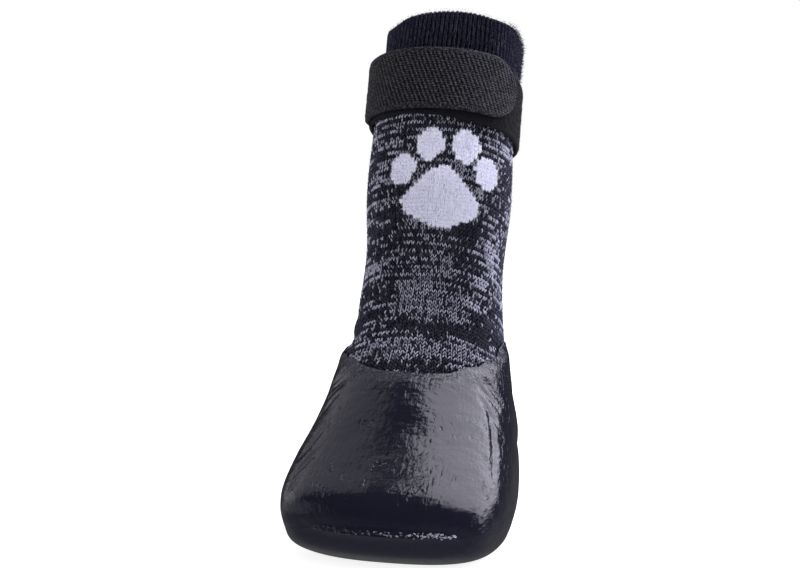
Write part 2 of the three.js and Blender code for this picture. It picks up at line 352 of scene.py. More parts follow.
def value_noise(across, down, cells, seed):
    """Smooth noise from 0 to 1 that closes on itself across after this many cells."""
    table = np.random.default_rng(seed).random((cells, NOISE_ROWS))
    left, top = np.floor(across).astype(int), np.floor(down).astype(int)
    right_share = smoothstep(across - left, 0.0, 1.0)
    down_share = smoothstep(down - top, 0.0, 1.0)
    left, right = left % cells, (left + 1) % cells
    top, bottom = top % NOISE_ROWS, (top + 1) % NOISE_ROWS
    upper = table[left, top] * (1 - right_share) + table[right, top] * right_share
    lower = table[left, bottom] * (1 - right_share) + table[right, bottom] * right_share
    return upper * (1 - down_share) + lower * down_share


def noise_round(angles, cells, seed):
    """Smooth noise round the sock from 0 to 1."""
    return value_noise(angles / (2 * np.pi) * cells, np.zeros(len(angles)), cells, seed)


def grid_faces(rows, columns, closed=True, flip=False):
    """Quads of a grid of points, row by row. Closed joins the last column to the first."""
    row, column = np.meshgrid(
        np.arange(rows - 1), np.arange(columns if closed else columns - 1), indexing="ij"
    )
    here = (row * columns + column).ravel()
    beside = (row * columns + (column + 1) % columns).ravel()
    quads = np.stack([here, here + columns, beside + columns, beside], -1)
    return quads[:, ::-1] if flip else quads


def grid_corner_map(rows, columns, values, flip=False):
    """Values for each corner of a closed grid's quads, from a grid that has one more column."""
    wide = grid_faces(rows, columns + 1, closed=False, flip=flip)
    return values.reshape(-1, values.shape[-1])[wide.ravel()]


def vertex_normals(points, quads):
    normals = np.zeros_like(points)
    first, second, third, fourth = (points[quads[:, corner]] for corner in range(4))
    faces = np.cross(third - first, fourth - second)
    for corner in range(4):
        np.add.at(normals, quads[:, corner], faces)
    return unit(normals)


def add_piece(name, points, faces, material, attributes=None, map_values=None):
    """A smooth mesh object from points in mm and arrays of quads or triangles, riding on the sock."""
    mesh = bpy.data.meshes.new(name)
    corners = np.concatenate([face.ravel() for face in faces])
    sizes = np.concatenate([np.full(len(face), face.shape[1]) for face in faces])
    mesh.vertices.add(len(points))
    mesh.vertices.foreach_set("co", (points * MM).astype(np.float32).ravel())
    mesh.loops.add(len(corners))
    mesh.loops.foreach_set("vertex_index", corners.astype(np.int32))
    mesh.polygons.add(len(sizes))
    mesh.polygons.foreach_set("loop_start", (np.cumsum(sizes) - sizes).astype(np.int32))
    mesh.polygons.foreach_set("use_smooth", np.ones(len(sizes), bool))
    for attribute, values in (attributes or {}).items():
        layer = mesh.attributes.new(attribute, "FLOAT", "POINT")
        layer.data.foreach_set("value", values.astype(np.float32))
    if map_values is not None:
        layer = mesh.uv_layers.new(name="surface_map")
        layer.uv.foreach_set("vector", map_values.astype(np.float32).ravel())
    mesh.update(calc_edges=True)
    mesh.validate()
    mesh.materials.append(material)
    piece = bpy.data.objects.new(name, mesh)
    bpy.context.scene.collection.objects.link(piece)
    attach(piece, "root")
    return piece


# Materials

def set_input(tree, socket, value):
    """Link a socket to another one, or give it a plain value."""
    if isinstance(value, bpy.types.NodeSocket):
        tree.links.new(value, socket)
    else:
        socket.default_value = value


def add_node(tree, kind, inputs=None, **settings):
    """A node with its settings, and its inputs set to values or linked to sockets."""
    node = tree.nodes.new(kind)
    for name, value in settings.items():
        setattr(node, name, value)
    for name, value in (inputs or {}).items():
        set_input(tree, node.inputs[name], value)
    return node


def math_node(tree, operation, *values):
    return add_node(tree, "ShaderNodeMath", dict(enumerate(values)), operation=operation).outputs[0]


def mix_colours(tree, share, first, second, blend="MIX"):
    node = add_node(tree, "ShaderNodeMix", {"Factor": share}, data_type="RGBA", blend_type=blend)
    for socket, value in (("A", first), ("B", second)):
        set_input(tree, next(i for i in node.inputs if i.name == socket and i.type == "RGBA"), value)
    return next(o for o in node.outputs if o.type == "RGBA")


def noise_node(tree, place, scale, detail, roughness=0.5):
    inputs = {"Vector": place, "Scale": scale, "Detail": detail, "Roughness": roughness}
    return add_node(tree, "ShaderNodeTexNoise", inputs).outputs["Fac"]


def map_range(tree, value, low, high, to_low=0.0, to_high=1.0):
    """A value's place between low and high, put between two other values."""
    inputs = {"Value": value, "From Min": low, "From Max": high, "To Min": to_low, "To Max": to_high}
    return add_node(tree, "ShaderNodeMapRange", inputs).outputs["Result"]


def surface_map(tree):
    """The piece's own map: wales and courses on the knit and the rubber, mm on a tape."""
    return add_node(tree, "ShaderNodeUVMap", uv_map="surface_map").outputs["UV"]


def stretched(tree, place, across, down):
    """A place on the map with its two ways scaled."""
    inputs = {"Vector": place, "Scale": (across, down, 1.0)}
    return add_node(tree, "ShaderNodeMapping", inputs).outputs["Vector"]


def point_value(tree, name):
    """A value that the mesh carries on its points."""
    return add_node(tree, "ShaderNodeAttribute", attribute_name=name).outputs["Fac"]


def waves(tree, value, pitch):
    """A wave from -1 to 1 with this pitch along a value."""
    return math_node(tree, "COSINE", math_node(tree, "MULTIPLY", value, 2 * math.pi / pitch))


def new_material(name, values):
    """A material with one Principled shader, its plain values set on the shader's own sockets."""
    material = bpy.data.materials.new(name)
    material.use_nodes = True
    shader = material.node_tree.nodes["Principled BSDF"]
    for socket, value in values.items():
        shader.inputs[socket].default_value = value
    return material, material.node_tree, shader


def new_group(name, inputs, outputs):
    """An empty shader group with named sockets: (name, socket type, default) and (name, socket type)."""
    group = bpy.data.node_groups.new(name, "ShaderNodeTree")
    for socket, kind, default in inputs:
        made = group.interface.new_socket(socket, in_out="INPUT", socket_type=kind)
        made.default_value = default
    for socket, kind in outputs:
        group.interface.new_socket(socket, in_out="OUTPUT", socket_type=kind)
    start = group.nodes.new("NodeGroupInput")
    end = group.nodes.new("NodeGroupOutput")
    return group, start.outputs, end.inputs


def place_group(tree, group, inputs):
    return add_node(tree, "ShaderNodeGroup", inputs, node_tree=group).outputs


def fibre_grain_group():
    """Fine uneven shade and height of spun fibre, for every yarn and tape."""
    group, start, end = new_group(
        "fibre grain",
        [
            ("Color", "NodeSocketColor", (0.5, 0.5, 0.5, 1.0)),
            ("Scale", "NodeSocketFloat", 900.0),
            ("Variation", "NodeSocketFloat", 0.3),
        ],
        [("Color", "NodeSocketColor"), ("Height", "NodeSocketFloat")],
    )
    place = add_node(group, "ShaderNodeTexCoord").outputs["Object"]
    noise = noise_node(group, place, start["Scale"], detail=3.0)
    swing = math_node(group, "SUBTRACT", noise, 0.5)
    swing = math_node(group, "MULTIPLY", swing, start["Variation"])
    gain = math_node(group, "MULTIPLY_ADD", swing, 2.0, 1.0)
    shaded = add_node(group, "ShaderNodeVectorMath", {0: start["Color"], "Scale": gain}, operation="SCALE")
    group.links.new(shaded.outputs["Vector"], end["Color"])
    group.links.new(noise, end["Height"])
    return group


def knit_relief_group():
    """Height of knit columns and courses from a map that counts wales and courses, broken up by noise."""
    group, start, end = new_group(
        "knit relief",
        [
            ("Map", "NodeSocketVector", (0.0, 0.0, 0.0)),
            ("Columns", "NodeSocketFloat", 1.0),
            ("Courses", "NodeSocketFloat", 0.3),
            ("Lean", "NodeSocketFloat", 0.0),
            ("Stretch", "NodeSocketFloat", 0.1),
        ],
        [("Height", "NodeSocketFloat")],
    )
    parts = add_node(group, "ShaderNodeSeparateXYZ", {"Vector": start["Map"]}).outputs
    lean = math_node(group, "MULTIPLY_ADD", parts["Y"], start["Lean"], parts["X"])
    down = math_node(group, "MULTIPLY", parts["Y"], start["Stretch"])
    streak_map = add_node(group, "ShaderNodeCombineXYZ", {"X": lean, "Y": down}).outputs["Vector"]
    streaks = noise_node(group, streak_map, scale=1.5, detail=3.0, roughness=0.6)
    streaks = math_node(group, "MULTIPLY", streaks, 2.4)
    columns = math_node(group, "MULTIPLY_ADD", waves(group, parts["X"], 1.0), 0.10, streaks)
    zigzag = math_node(group, "SINE", math_node(group, "MULTIPLY", parts["X"], 2 * math.pi))
    zigzag = math_node(group, "ABSOLUTE", zigzag)
    leaning = math_node(group, "MULTIPLY_ADD", zigzag, 0.35, parts["Y"])
    courses = waves(group, leaning, 1.0)
    patches = noise_node(group, start["Map"], scale=0.35, detail=3.0)
    strength = math_node(group, "MULTIPLY_ADD", patches, 1.8, -0.4)
    both = math_node(group, "MULTIPLY", courses, start["Courses"])
    both = math_node(group, "MULTIPLY_ADD", columns, start["Columns"], both)
    group.links.new(math_node(group, "MULTIPLY", both, strength), end["Height"])
    return group


FIBRE_GRAIN = fibre_grain_group()
KNIT_RELIEF = knit_relief_group()

NAVY_YARN = (0.0080, 0.0080, 0.021, 1.0)
CUFF_NAVY = (0.0105, 0.0108, 0.030, 1.0)
GREY_YARN = (0.53, 0.53, 0.66, 1.0)
PAW_SHADE = (0.44, 0.43, 0.52, 1.0)
WHITE_YARN = (0.80, 0.80, 0.93, 1.0)
BLACK_RUBBER = (0.0065, 0.0065, 0.0150, 1.0)
FILM_GREY = (0.05, 0.05, 0.08, 1.0)
# Hook tape tones: the lighter is painted highlight on the weave's crowns, the darker painted shade in its
# hollows.
HOOK_TONE_IN_SHADE = (0.0030, 0.0030, 0.0040, 1.0)
HOOK_TONE_IN_LIGHT = (0.062, 0.063, 0.077, 1.0)
LOOP_BLACK = (0.0050, 0.0050, 0.0065, 1.0)
LOOP_SHEEN = (0.020, 0.020, 0.024, 1.0)

# Heights of the rubber's marks against the knit that shows through it, and roughness.
SMEAR_HEIGHT, PIT_HEIGHT, DENT_DEPTH = 2.6, 0.45, 1.6
RUBBER_ROUGHNESS, SMEAR_ROUGHNESS, THIN_FILM_ROUGHNESS = 0.07, 0.12, 0.04


def add_bump(tree, shader, height, strength, distance):
    bump = add_node(tree, "ShaderNodeBump", {"Height": height, "Strength": strength, "Distance": distance})
    tree.links.new(bump.outputs["Normal"], shader.inputs["Normal"])


def yarn_material(name, dark, light):
    """Spun yarn whose shade runs from dark to light with each stitch's own value, which holds the yarn's
    own tone and, on some pieces, painted shade or painted highlight.
    """
    material, tree, shader = new_material(
        name, {"Roughness": 0.85, "Specular IOR Level": 0.2, "Sheen Weight": 0.04, "Sheen Roughness": 0.4}
    )
    colour = mix_colours(tree, point_value(tree, "yarn_tone_and_painted_light"), dark, light)
    fibre = place_group(tree, FIBRE_GRAIN, {"Color": colour, "Scale": 2600.0, "Variation": 0.45})
    tree.links.new(fibre["Color"], shader.inputs["Base Color"])
    add_bump(tree, shader, fibre["Height"], strength=0.5, distance=0.0002)
    return material


def knit_ground_material():
    """The dark ground between the stitches, and the purl side inside."""
    material, tree, shader = new_material(
        "knit_ground", {"Roughness": 0.95, "Specular IOR Level": 0.1}
    )
    fibre = place_group(tree, FIBRE_GRAIN, {"Color": NAVY_YARN, "Scale": 1500.0, "Variation": 0.6})
    tree.links.new(fibre["Color"], shader.inputs["Base Color"])
    purl = place_group(tree, KNIT_RELIEF, {"Map": surface_map(tree), "Columns": 0.4, "Courses": 1.0})
    height = math_node(tree, "MULTIPLY_ADD", fibre["Height"], 0.5, purl["Height"])
    add_bump(tree, shader, height, strength=0.8, distance=0.0003)
    return material


def rubber_material():
    """Dipped rubber: glossy black, with the knit's columns showing through and small smears and pits."""
    material, tree, shader = new_material("dipped_rubber", {"IOR": 1.52})
    place = surface_map(tree)
    relief = place_group(
        tree, KNIT_RELIEF, {"Map": place, "Columns": 1.0, "Courses": 0.06, "Lean": 0.12, "Stretch": 0.3}
    )
    spot = add_node(tree, "ShaderNodeTexCoord").outputs["Object"]
    smear = noise_node(tree, stretched(tree, place, 0.22, 0.09), scale=1.0, detail=4.0)
    pits = noise_node(tree, spot, scale=1100.0, detail=2.0)
    dents = noise_node(tree, stretched(tree, place, 0.8, 0.3), scale=1.0, detail=3.0)
    dented = noise_node(tree, place, scale=0.1, detail=2.0)
    dented = map_range(tree, dented, 0.46, 0.60)
    dents = math_node(tree, "MULTIPLY", map_range(tree, dents, 0.56, 0.70), dented)
    thin = point_value(tree, "film_thin")
    knit = math_node(tree, "MULTIPLY", relief["Height"], math_node(tree, "MULTIPLY_ADD", thin, 2.5, 1.0))
    specks = map_range(tree, noise_node(tree, place, scale=0.9, detail=2.0), 0.52, 0.72)
    seen_through = math_node(tree, "MULTIPLY", specks, math_node(tree, "POWER", thin, 2.0))
    tree.links.new(mix_colours(tree, seen_through, BLACK_RUBBER, FILM_GREY), shader.inputs["Base Color"])
    height = math_node(tree, "MULTIPLY_ADD", smear, SMEAR_HEIGHT, knit)
    height = math_node(tree, "MULTIPLY_ADD", pits, PIT_HEIGHT, height)
    height = math_node(tree, "MULTIPLY_ADD", dents, -DENT_DEPTH, height)
    add_bump(tree, shader, height, strength=0.8, distance=0.00014)
    rough = math_node(tree, "MULTIPLY_ADD", thin, THIN_FILM_ROUGHNESS, RUBBER_ROUGHNESS)
    rough = math_node(tree, "MULTIPLY_ADD", smear, SMEAR_ROUGHNESS, rough)
    tree.links.new(rough, shader.inputs["Roughness"])
    return material


def hook_tape_material():
    """The woven back of hook tape: rows of leaning threads on a dark ground, and ribbed selvedges. The
    threads' crowns are painted lighter and the hollows darker, as painted highlight and painted shade on
    the weave.
    """
    material, tree, shader = new_material(
        "hook_tape_weave", {"Roughness": 0.55, "Specular IOR Level": 0.25}
    )
    place = surface_map(tree)
    parts = add_node(tree, "ShaderNodeSeparateXYZ", {"Vector": place}).outputs
    leaning = math_node(tree, "MULTIPLY_ADD", parts["Y"], HOOK_RIB_LEAN, parts["X"])
    rows = math_node(tree, "MULTIPLY", waves(tree, parts["Y"], HOOK_ROW_PITCH), 0.35)
    dots = math_node(tree, "MULTIPLY_ADD", waves(tree, leaning, HOOK_RIB_PITCH), 0.45, rows)
    ribs = math_node(tree, "MULTIPLY_ADD", waves(tree, parts["X"], SELVEDGE_RIB), 0.3, 0.05)
    edge = math_node(tree, "ABSOLUTE", parts["Y"])
    inside = math_node(tree, "LESS_THAN", edge, TAPE_WIDTH / 2 - SELVEDGE)
    threads = add_node(tree, "ShaderNodeMix", {"Factor": inside, "A": ribs, "B": dots}).outputs["Result"]
    worn = noise_node(tree, place, scale=1.6, detail=3.0)
    uneven = math_node(tree, "MULTIPLY_ADD", worn, 4.0, math_node(tree, "SUBTRACT", threads, 2.0))
    # Painted highlight and painted shade: the weave's crowns are lighter and its hollows darker, over the
    # tape's uneven tone.
    colour = mix_colours(tree, map_range(tree, uneven, -0.15, 1.1), HOOK_TONE_IN_SHADE, HOOK_TONE_IN_LIGHT)
    fibre = place_group(tree, FIBRE_GRAIN, {"Color": colour, "Scale": 1800.0, "Variation": 0.9})
    tree.links.new(fibre["Color"], shader.inputs["Base Color"])
    height = math_node(tree, "MULTIPLY_ADD", uneven, 0.7, fibre["Height"])
    add_bump(tree, shader, height, strength=0.8, distance=0.00025)
    return material


def loop_tape_material():
    """Black pile of loop tape."""
    material, tree, shader = new_material(
        "loop_tape_pile", {"Roughness": 0.9, "Specular IOR Level": 0.1, "Sheen Weight": 0.03}
    )
    fibre = place_group(tree, FIBRE_GRAIN, {"Color": LOOP_BLACK, "Scale": 1600.0, "Variation": 0.8})
    tree.links.new(fibre["Color"], shader.inputs["Base Color"])
    add_bump(tree, shader, fibre["Height"], strength=0.8, distance=0.0003)
    return material


YARN = yarn_material("melange_yarn", NAVY_YARN, GREY_YARN)
CUFF_YARN = yarn_material("cuff_yarn", CUFF_NAVY, GREY_YARN)
PAW_YARN = yarn_material("paw_yarn", PAW_SHADE, WHITE_YARN)
LOOP_YARN = yarn_material("loop_yarn", LOOP_BLACK, LOOP_SHEEN)
WEAR_AND_HIGHLIGHT_SPECKS = yarn_material("rubber_wear_and_painted_highlight", BLACK_RUBBER, GREY_YARN)
GROUND = knit_ground_material()
RUBBER = rubber_material()
HOOK_TAPE = hook_tape_material()
LOOP_TAPE = loop_tape_material()


# Knit ground: the sock's wall, with its rim rounded over

def knit_wall(row):
    """The wall's thickness, which is greater in the cuff."""
    return CUFF_WALL + (KNIT_WALL - CUFF_WALL) * smoothstep(row, ROW["cuff"], ROW["shaft"])


def seam_weld(columns):
    """The toe seam joins each column of the front half to its mirror in the rear half."""
    column = np.arange(columns)
    rear = np.cos(2 * np.pi * column / columns) < -1e-9
    return np.where(rear, (columns // 2 - column) % columns, column)


def shell_grid(row_grid, angles):
    """Points and normals of the knit's face on a grid that closes at the toe seam, and its welded quads."""
    rows, columns = row_grid.shape
    points = knit_point(row_grid, angles[None, :]).reshape(-1, 3)
    quads = grid_faces(rows, columns)
    last = (rows - 1) * columns
    weld = np.arange(rows * columns)
    weld[last:] = last + seam_weld(columns)
    quads = weld[quads]
    normals = vertex_normals(points, quads)[weld]
    return points, normals, quads


def build_knit_ground():
    """The wall of the whole sock, with rows closer together on the shaft than on the foot."""
    columns = GROUND_COLUMNS
    angles = np.arange(columns) * 2 * np.pi / columns
    outer_rows = np.concatenate([
        np.linspace(GROUND_TOP_ROW, ROW["instep"], GROUND_SHAFT_ROWS),
        np.linspace(ROW["instep"] + GROUND_ROW_STEP, LAST_ROW, GROUND_FOOT_ROWS),
    ])
    grid = np.repeat(outer_rows[:, None], columns, axis=1)
    points, normals, quads = shell_grid(grid, angles)
    wall = knit_wall(grid).ravel()[:, None]
    outer = points - normals * GROUND_DEPTH
    inner = points - normals * wall
    inner[:, 2] = np.maximum(inner[:, 2], KNIT_FLOOR + KNIT_WALL)
    count = len(points)
    # The rim turns over on a half circle between the two faces.
    top_outer, top_inner = outer[:columns], inner[:columns]
    middle, reach = (top_outer + top_inner) / 2, (top_outer - top_inner) / 2
    rise = unit(points[:columns] - points[columns:2 * columns])
    rise = rise * np.linalg.norm(reach, axis=1, keepdims=True) * RIM_ROUNDNESS
    turns = np.linspace(0, np.pi, RIM_TURN_STEPS)[1:-1]
    rim = [middle + reach * np.cos(turn) + rise * np.sin(turn) for turn in turns]
    rings = [np.arange(columns)]
    rings += [2 * count + columns * step + np.arange(columns) for step in range(len(rim))]
    rings += [count + np.arange(columns)]
    rim_faces = []
    for upper, lower in zip(rings[1:], rings[:-1]):
        rim_faces.append(np.stack([upper, lower, np.roll(lower, -1), np.roll(upper, -1)], -1))
    faces = np.concatenate([quads, quads[:, ::-1] + count] + rim_faces)
    run = run_below_rim(outer_rows) / COURSE_PITCH
    shares = np.linspace(0, WALES, columns + 1)
    chart = np.stack(np.broadcast_arrays(shares[None, :], run[:, None]), -1)
    outer_map = grid_corner_map(len(outer_rows), columns, chart)
    inner_map = outer_map.reshape(-1, 4, 2)[:, ::-1].reshape(-1, 2)
    rim_map = np.zeros((len(rim_faces) * columns * 4, 2))
    piece = add_piece(
        "knit_ground",
        np.concatenate([outer, inner] + rim),
        [faces],
        GROUND,
        map_values=np.concatenate([outer_map, inner_map, rim_map]),
    )
    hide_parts("knit_sock")


# Stitches: each is a V of two legs that rise out of the ground and dive under the next course

# Columns: share up the leg, half width in wales, height of the crown in mm, height of the sides in mm.
LEG_STATIONS = (
    (0.20, 0.14, 0.30, -0.06),
    (0.52, 0.17, 0.42, 0.00),
    (0.82, 0.13, 0.26, -0.10),
)
LEG_FOOT_HEIGHT, LEG_HEAD_HEIGHT = -0.10, -0.25
LEG_SIDES = 3
LEG_POINTS = 2 + LEG_SIDES * len(LEG_STATIONS)
# Foot and head of a leg, in wales from the stitch's middle and in courses up from it.
PLAIN_LEG = ((0.05, -0.62), (0.46, 0.66))
PAW_LEG = ((0.06, -0.80), (0.45, 0.90))
RIB_LEG = ((0.10, -0.95), (0.20, 1.10))
LEG_UNEVEN = 0.08


def leg_faces():
    """Quads and triangles of one leg: a tip, a ring of three points at each station and a tip."""
    first, last, rings = 0, LEG_POINTS - 1, len(LEG_STATIONS)
    quads, triangles = [], []
    for side in range(LEG_SIDES):
        beside = (side + 1) % LEG_SIDES
        triangles.append((first, 1 + side, 1 + beside))
        triangles.append((last, last - LEG_SIDES + beside, last - LEG_SIDES + side))
        for ring in range(rings - 1):
            low, high = 1 + ring * LEG_SIDES, 1 + (ring + 1) * LEG_SIDES
            quads.append((low + side, high + side, high + beside, low + beside))
    return np.array(quads), np.array(triangles)


LEG_QUADS, LEG_TRIANGLES = leg_faces()


def ridge_mesh(foot, head, outward, half_width, lift=1.0):
    """Three-sided ridges from foot to head that dive at both ends. half_width scales the stations."""
    run = head - foot
    cross = unit(np.cross(run, outward)) * half_width[:, None]
    rise = outward * np.broadcast_to(lift, len(foot))[:, None]
    points = [foot + rise * LEG_FOOT_HEIGHT]
    for share, width, crown, sides in LEG_STATIONS:
        middle = foot + run * share
        low = middle + rise * sides
        points += [middle + rise * crown, low + cross * width, low - cross * width]
    points.append(head + rise * LEG_HEAD_HEIGHT)
    start = np.arange(len(foot))[:, None, None] * LEG_POINTS
    quads = (LEG_QUADS[None] + start).reshape(-1, 4)
    triangles = (LEG_TRIANGLES[None] + start).reshape(-1, 3)
    return np.stack(points, 1).reshape(-1, 3), [quads, triangles]


def stitch_mesh(centre, along, up, outward, wale, course, leg=PLAIN_LEG, lift=1.0, plump=1.0):
    """Points and faces of the two legs of every stitch. wale and course are the pitches at each stitch."""
    sides = np.array([-1.0, 1.0])
    shape = (len(centre), 2, 1)

    def ends(wales, courses):
        across = wales * sides[:, None] + LEG_UNEVEN * random.normal(size=shape)
        rise = courses + LEG_UNEVEN * random.normal(size=shape)
        across = along[:, None, :] * across * wale[:, None, None]
        rise = up[:, None, :] * rise * course[:, None, None]
        return (centre[:, None, :] + across + rise).reshape(-1, 3)

    foot, head = ends(*leg[0]), ends(*leg[1])
    lifts = np.repeat(np.broadcast_to(lift, len(centre)), 2)
    return ridge_mesh(foot, head, np.repeat(outward, 2, axis=0), np.repeat(wale * plump, 2), lifts)


def stitch_shades(legs, painted_side_shade):
    """Shade of every point from the shades of the two legs of each stitch. A leg's sides are painted
    darker, as painted shade between the yarns.
    """
    shares = np.full(LEG_POINTS, painted_side_shade)
    shares[1:-1:LEG_SIDES] = 1.0
    return (legs[..., None] * shares).ravel()


# Paw print. Its middle is in mm round from the front and down from the rim, and the rest in mm from there.
PAW_MIDDLE = (5.6, 58.75)
PAW_PLUMP = 2.3
PAW_SHADES = (0.8, 1.0)
# Painted shade: the pad is painted less white than the toes, for light that falls off down the paw. It
# changes between these heights, in mm down from the paw's middle.
PAW_PAD_PAINTED_SHADE = 0.35
PAW_PAD_SHADE_FROM, PAW_PAD_SHADE_TO = -8.0, 4.0
# Columns: across, down, half width, half height, lean in degrees.
PAW_TOES = (
    (-13.9, -4.8, 4.3, 4.9, 14.0),
    (-5.2, -12.8, 4.1, 5.3, 6.0),
    (6.4, -12.6, 4.6, 5.1, -8.0),
    (14.4, -6.2, 4.6, 5.0, -16.0),
)
PAW_PAD = (
    (-0.6, -6.2), (2.6, -4.8), (5.8, -0.8), (9.6, 2.0), (12.2, 4.6), (11.2, 7.6), (8.2, 10.4),
    (4.0, 12.2), (0.2, 13.2), (-4.2, 12.6), (-8.6, 11.0), (-12.4, 8.6), (-14.0, 5.8), (-12.0, 3.0),
    (-8.0, -0.8), (-4.2, -4.6),
)


def in_paw(across, down):
    """Whether points round the front, in mm, are in one of the paw's toes or its pad."""
    across, down = across - PAW_MIDDLE[0], down - PAW_MIDDLE[1]
    inside = np.zeros(across.shape, bool)
    for toe_across, toe_down, half_width, half_height, lean in PAW_TOES:
        cos, sin = math.cos(math.radians(lean)), math.sin(math.radians(lean))
        wide = (across - toe_across) * cos + (down - toe_down) * sin
        tall = (down - toe_down) * cos - (across - toe_across) * sin
        inside |= (wide / half_width) ** 2 + (tall / half_height) ** 2 < 1
    crossings = np.zeros(across.shape, int)
    corners = np.array(PAW_PAD)
    for (x0, y0), (x1, y1) in zip(corners, np.roll(corners, -1, axis=0)):
        spans = (y0 > down) != (y1 > down)
        slope = (x1 - x0) / (y1 - y0) if y1 != y0 else 0.0
        crossings += spans & (across < x0 + (down - y0) * slope)
    return inside | (crossings % 2 == 1)


# Light and dark drifts of the melange, listed one by one.
# Columns: degrees round the sock, mm below the rim, reach round and reach down in mm, push towards light.
MELANGE_DRIFTS = (
    (52.0, 43.0, 11.0, 5.0, 0.10), (-42.0, 41.0, 9.0, 4.0, 0.12), (0.0, 36.0, 14.0, 4.0, 0.05),
    (10.0, 57.0, 20.0, 16.0, 0.10), (58.0, 74.0, 7.0, 7.0, 0.24), (40.0, 75.0, 5.0, 6.0, -0.22),
    (37.0, 83.0, 5.0, 7.0, -0.22), (-48.0, 57.0, 8.0, 13.0, -0.09), (60.0, 56.0, 7.0, 10.0, -0.07),
    (-21.0, 76.0, 9.0, 4.0, -0.14), (-2.0, 81.0, 9.0, 3.0, 0.12), (17.0, 85.5, 8.0, 5.0, 0.20),
    (-45.0, 84.0, 6.0, 5.0, 0.10), (20.0, 94.0, 8.0, 4.5, 0.30), (62.0, 96.0, 8.0, 5.0, -0.26),
    (-4.0, 98.0, 18.0, 2.5, 0.18), (-40.0, 96.0, 9.0, 4.0, -0.06), (2.0, 105.0, 10.0, 2.5, -0.10),
    (30.0, 110.0, 16.0, 4.0, 0.28), (-12.0, 113.0, 14.0, 4.0, 0.24), (8.0, 120.0, 16.0, 3.0, 0.05),
)
MM_A_DEGREE = 0.42
# Cells of the melange's noises round the sock, from short lengths of yarn to broad drifts.
TONE_CELLS, LENGTH_CELLS, DRIFT_CELLS, BROAD_CELLS = 44, 30, 16, 6
DRIFT_COURSES, BROAD_COURSES = 4.0, 9.0
# Steps in the noise from course to course, so that each course has lengths and tones of its own.
LENGTH_STEP, TONE_STEP = 17.0, 13.0
ODD_COURSE = 0.09
# A stitch's chance of being grey, from the darkest place to the lightest.
GREY_CHANCE, GREY_CHANCE_ADDED = 0.04, 0.82
GREY_FROM, GREY_TO = 0.40, 0.78
GREY_SHADES, GREY_TONE = (0.05, 0.55), 0.95
NAVY_SHADES = (0.0, 0.10)


def melange(wale, course, degrees, run):
    """Shades of the two legs of each stitch, 0 navy to 1 grey: lengths of dyed yarn, in drifts."""
    share = wale / WALES
    lengths = value_noise(share * LENGTH_CELLS, course * LENGTH_STEP + 0.5, LENGTH_CELLS, 3)
    drifts = value_noise(share * DRIFT_CELLS, course / DRIFT_COURSES, DRIFT_CELLS, 5)
    broad = value_noise(share * BROAD_CELLS, course / BROAD_COURSES, BROAD_CELLS, 6)
    odd_course = np.where(course % 2 == 0, ODD_COURSE, -ODD_COURSE)
    push = np.zeros(share.shape)
    for middle, below, across, down, amount in MELANGE_DRIFTS:
        gaps = ((degrees - middle) * MM_A_DEGREE / across) ** 2 + ((run - below) / down) ** 2
        push = push + amount * np.exp(-gaps)
    light = 0.50 * lengths + 0.32 * drifts + 0.20 * broad + odd_course + push
    chance = GREY_CHANCE + GREY_CHANCE_ADDED * smoothstep(light, GREY_FROM, GREY_TO)[..., None]
    shape = chance.shape[:-1] + (2,)
    tone = value_noise(share * TONE_CELLS, course * TONE_STEP + 0.5, TONE_CELLS, 7)[..., None]
    grey = np.minimum(random.uniform(*GREY_SHADES, shape) + GREY_TONE * tone, 1.0)
    navy = random.uniform(*NAVY_SHADES, shape)
    return np.where(random.random(shape) < chance, grey, navy)


# The leg's own axis at the strap, from the middle of the strap's section to the middle of the cuff's.
cuff_middle = SECTION_TABLE[ROW["cuff"], 0:4].reshape(2, 2).sum(axis=0)
strap_middle = SECTION_TABLE[ROW["strap"], 0:4].reshape(2, 2).sum(axis=0)
STRAP_AXIS = unit(np.array([0.0, *(cuff_middle - strap_middle)]))


def strap_height(points, angles):
    """Height over the strap's lower edge, in mm, along the leg's own axis."""
    return (points - knit_point(ROW["strap"], angles)) @ STRAP_AXIS


def course_grid(runs, wales):
    """Row, angle, wale pitch and course pitch at every stitch of the courses this far below the rim."""
    rows = row_below_rim(runs)
    shares = (np.arange(wales) + 0.5) / wales
    angles, lengths = angles_by_arc(rows, shares)
    row_grid = np.repeat(rows[:, None], wales, axis=1)
    wale = np.repeat(lengths[:, None] / wales, wales, axis=1)
    centre = knit_point(row_grid, angles)
    course = np.linalg.norm(np.gradient(centre, axis=0), axis=-1)
    return row_grid, angles, wale, course


def build_cuff_rib():
    """Rib columns from the strap up to the rim and over it."""
    runs = np.arange(*RIB_RUN, RIB_COURSE_PITCH)
    row_grid, angles, wale, course = course_grid(runs, RIB_WALES)
    centre, along, up, outward = knit_frame(row_grid, angles)
    keep = strap_height(centre, angles) > TAPE_WIDTH - RIB_UNDER_TAPE
    arrays = [a[keep] for a in (centre, along, up, outward, wale, course)]
    centre_0, along_0, up_0, outward_0 = (a[0] for a in (centre, along, up, outward))
    half_wall = CUFF_WALL / 2
    turns = (np.arange(RIM_COURSES) + 0.5) * np.pi / RIM_COURSES
    for turn in turns:
        lean = outward_0 * np.cos(turn) + up_0 * np.sin(turn)
        rise = up_0 * np.cos(turn) - outward_0 * np.sin(turn)
        top = centre_0 + up_0 * RIM_RISE - outward_0 * half_wall + lean * (half_wall - RIM_SINK)
        extra = (top, along_0, rise, lean, wale[0], np.full(RIB_WALES, np.pi * half_wall / RIM_COURSES))
        arrays = [np.concatenate([kept, more]) for kept, more in zip(arrays, extra)]
    points, faces = stitch_mesh(*arrays, leg=RIB_LEG, lift=RIB_LIFT, plump=RIB_PLUMP)
    shades = stitch_shades(RIB_LIGHTEST * random.random((len(arrays[0]), 2)) ** 2, RIB_SIDE_PAINTED_SHADE)
    piece = add_piece("cuff_rib", points, faces, CUFF_YARN, {"yarn_tone_and_painted_light": shades})


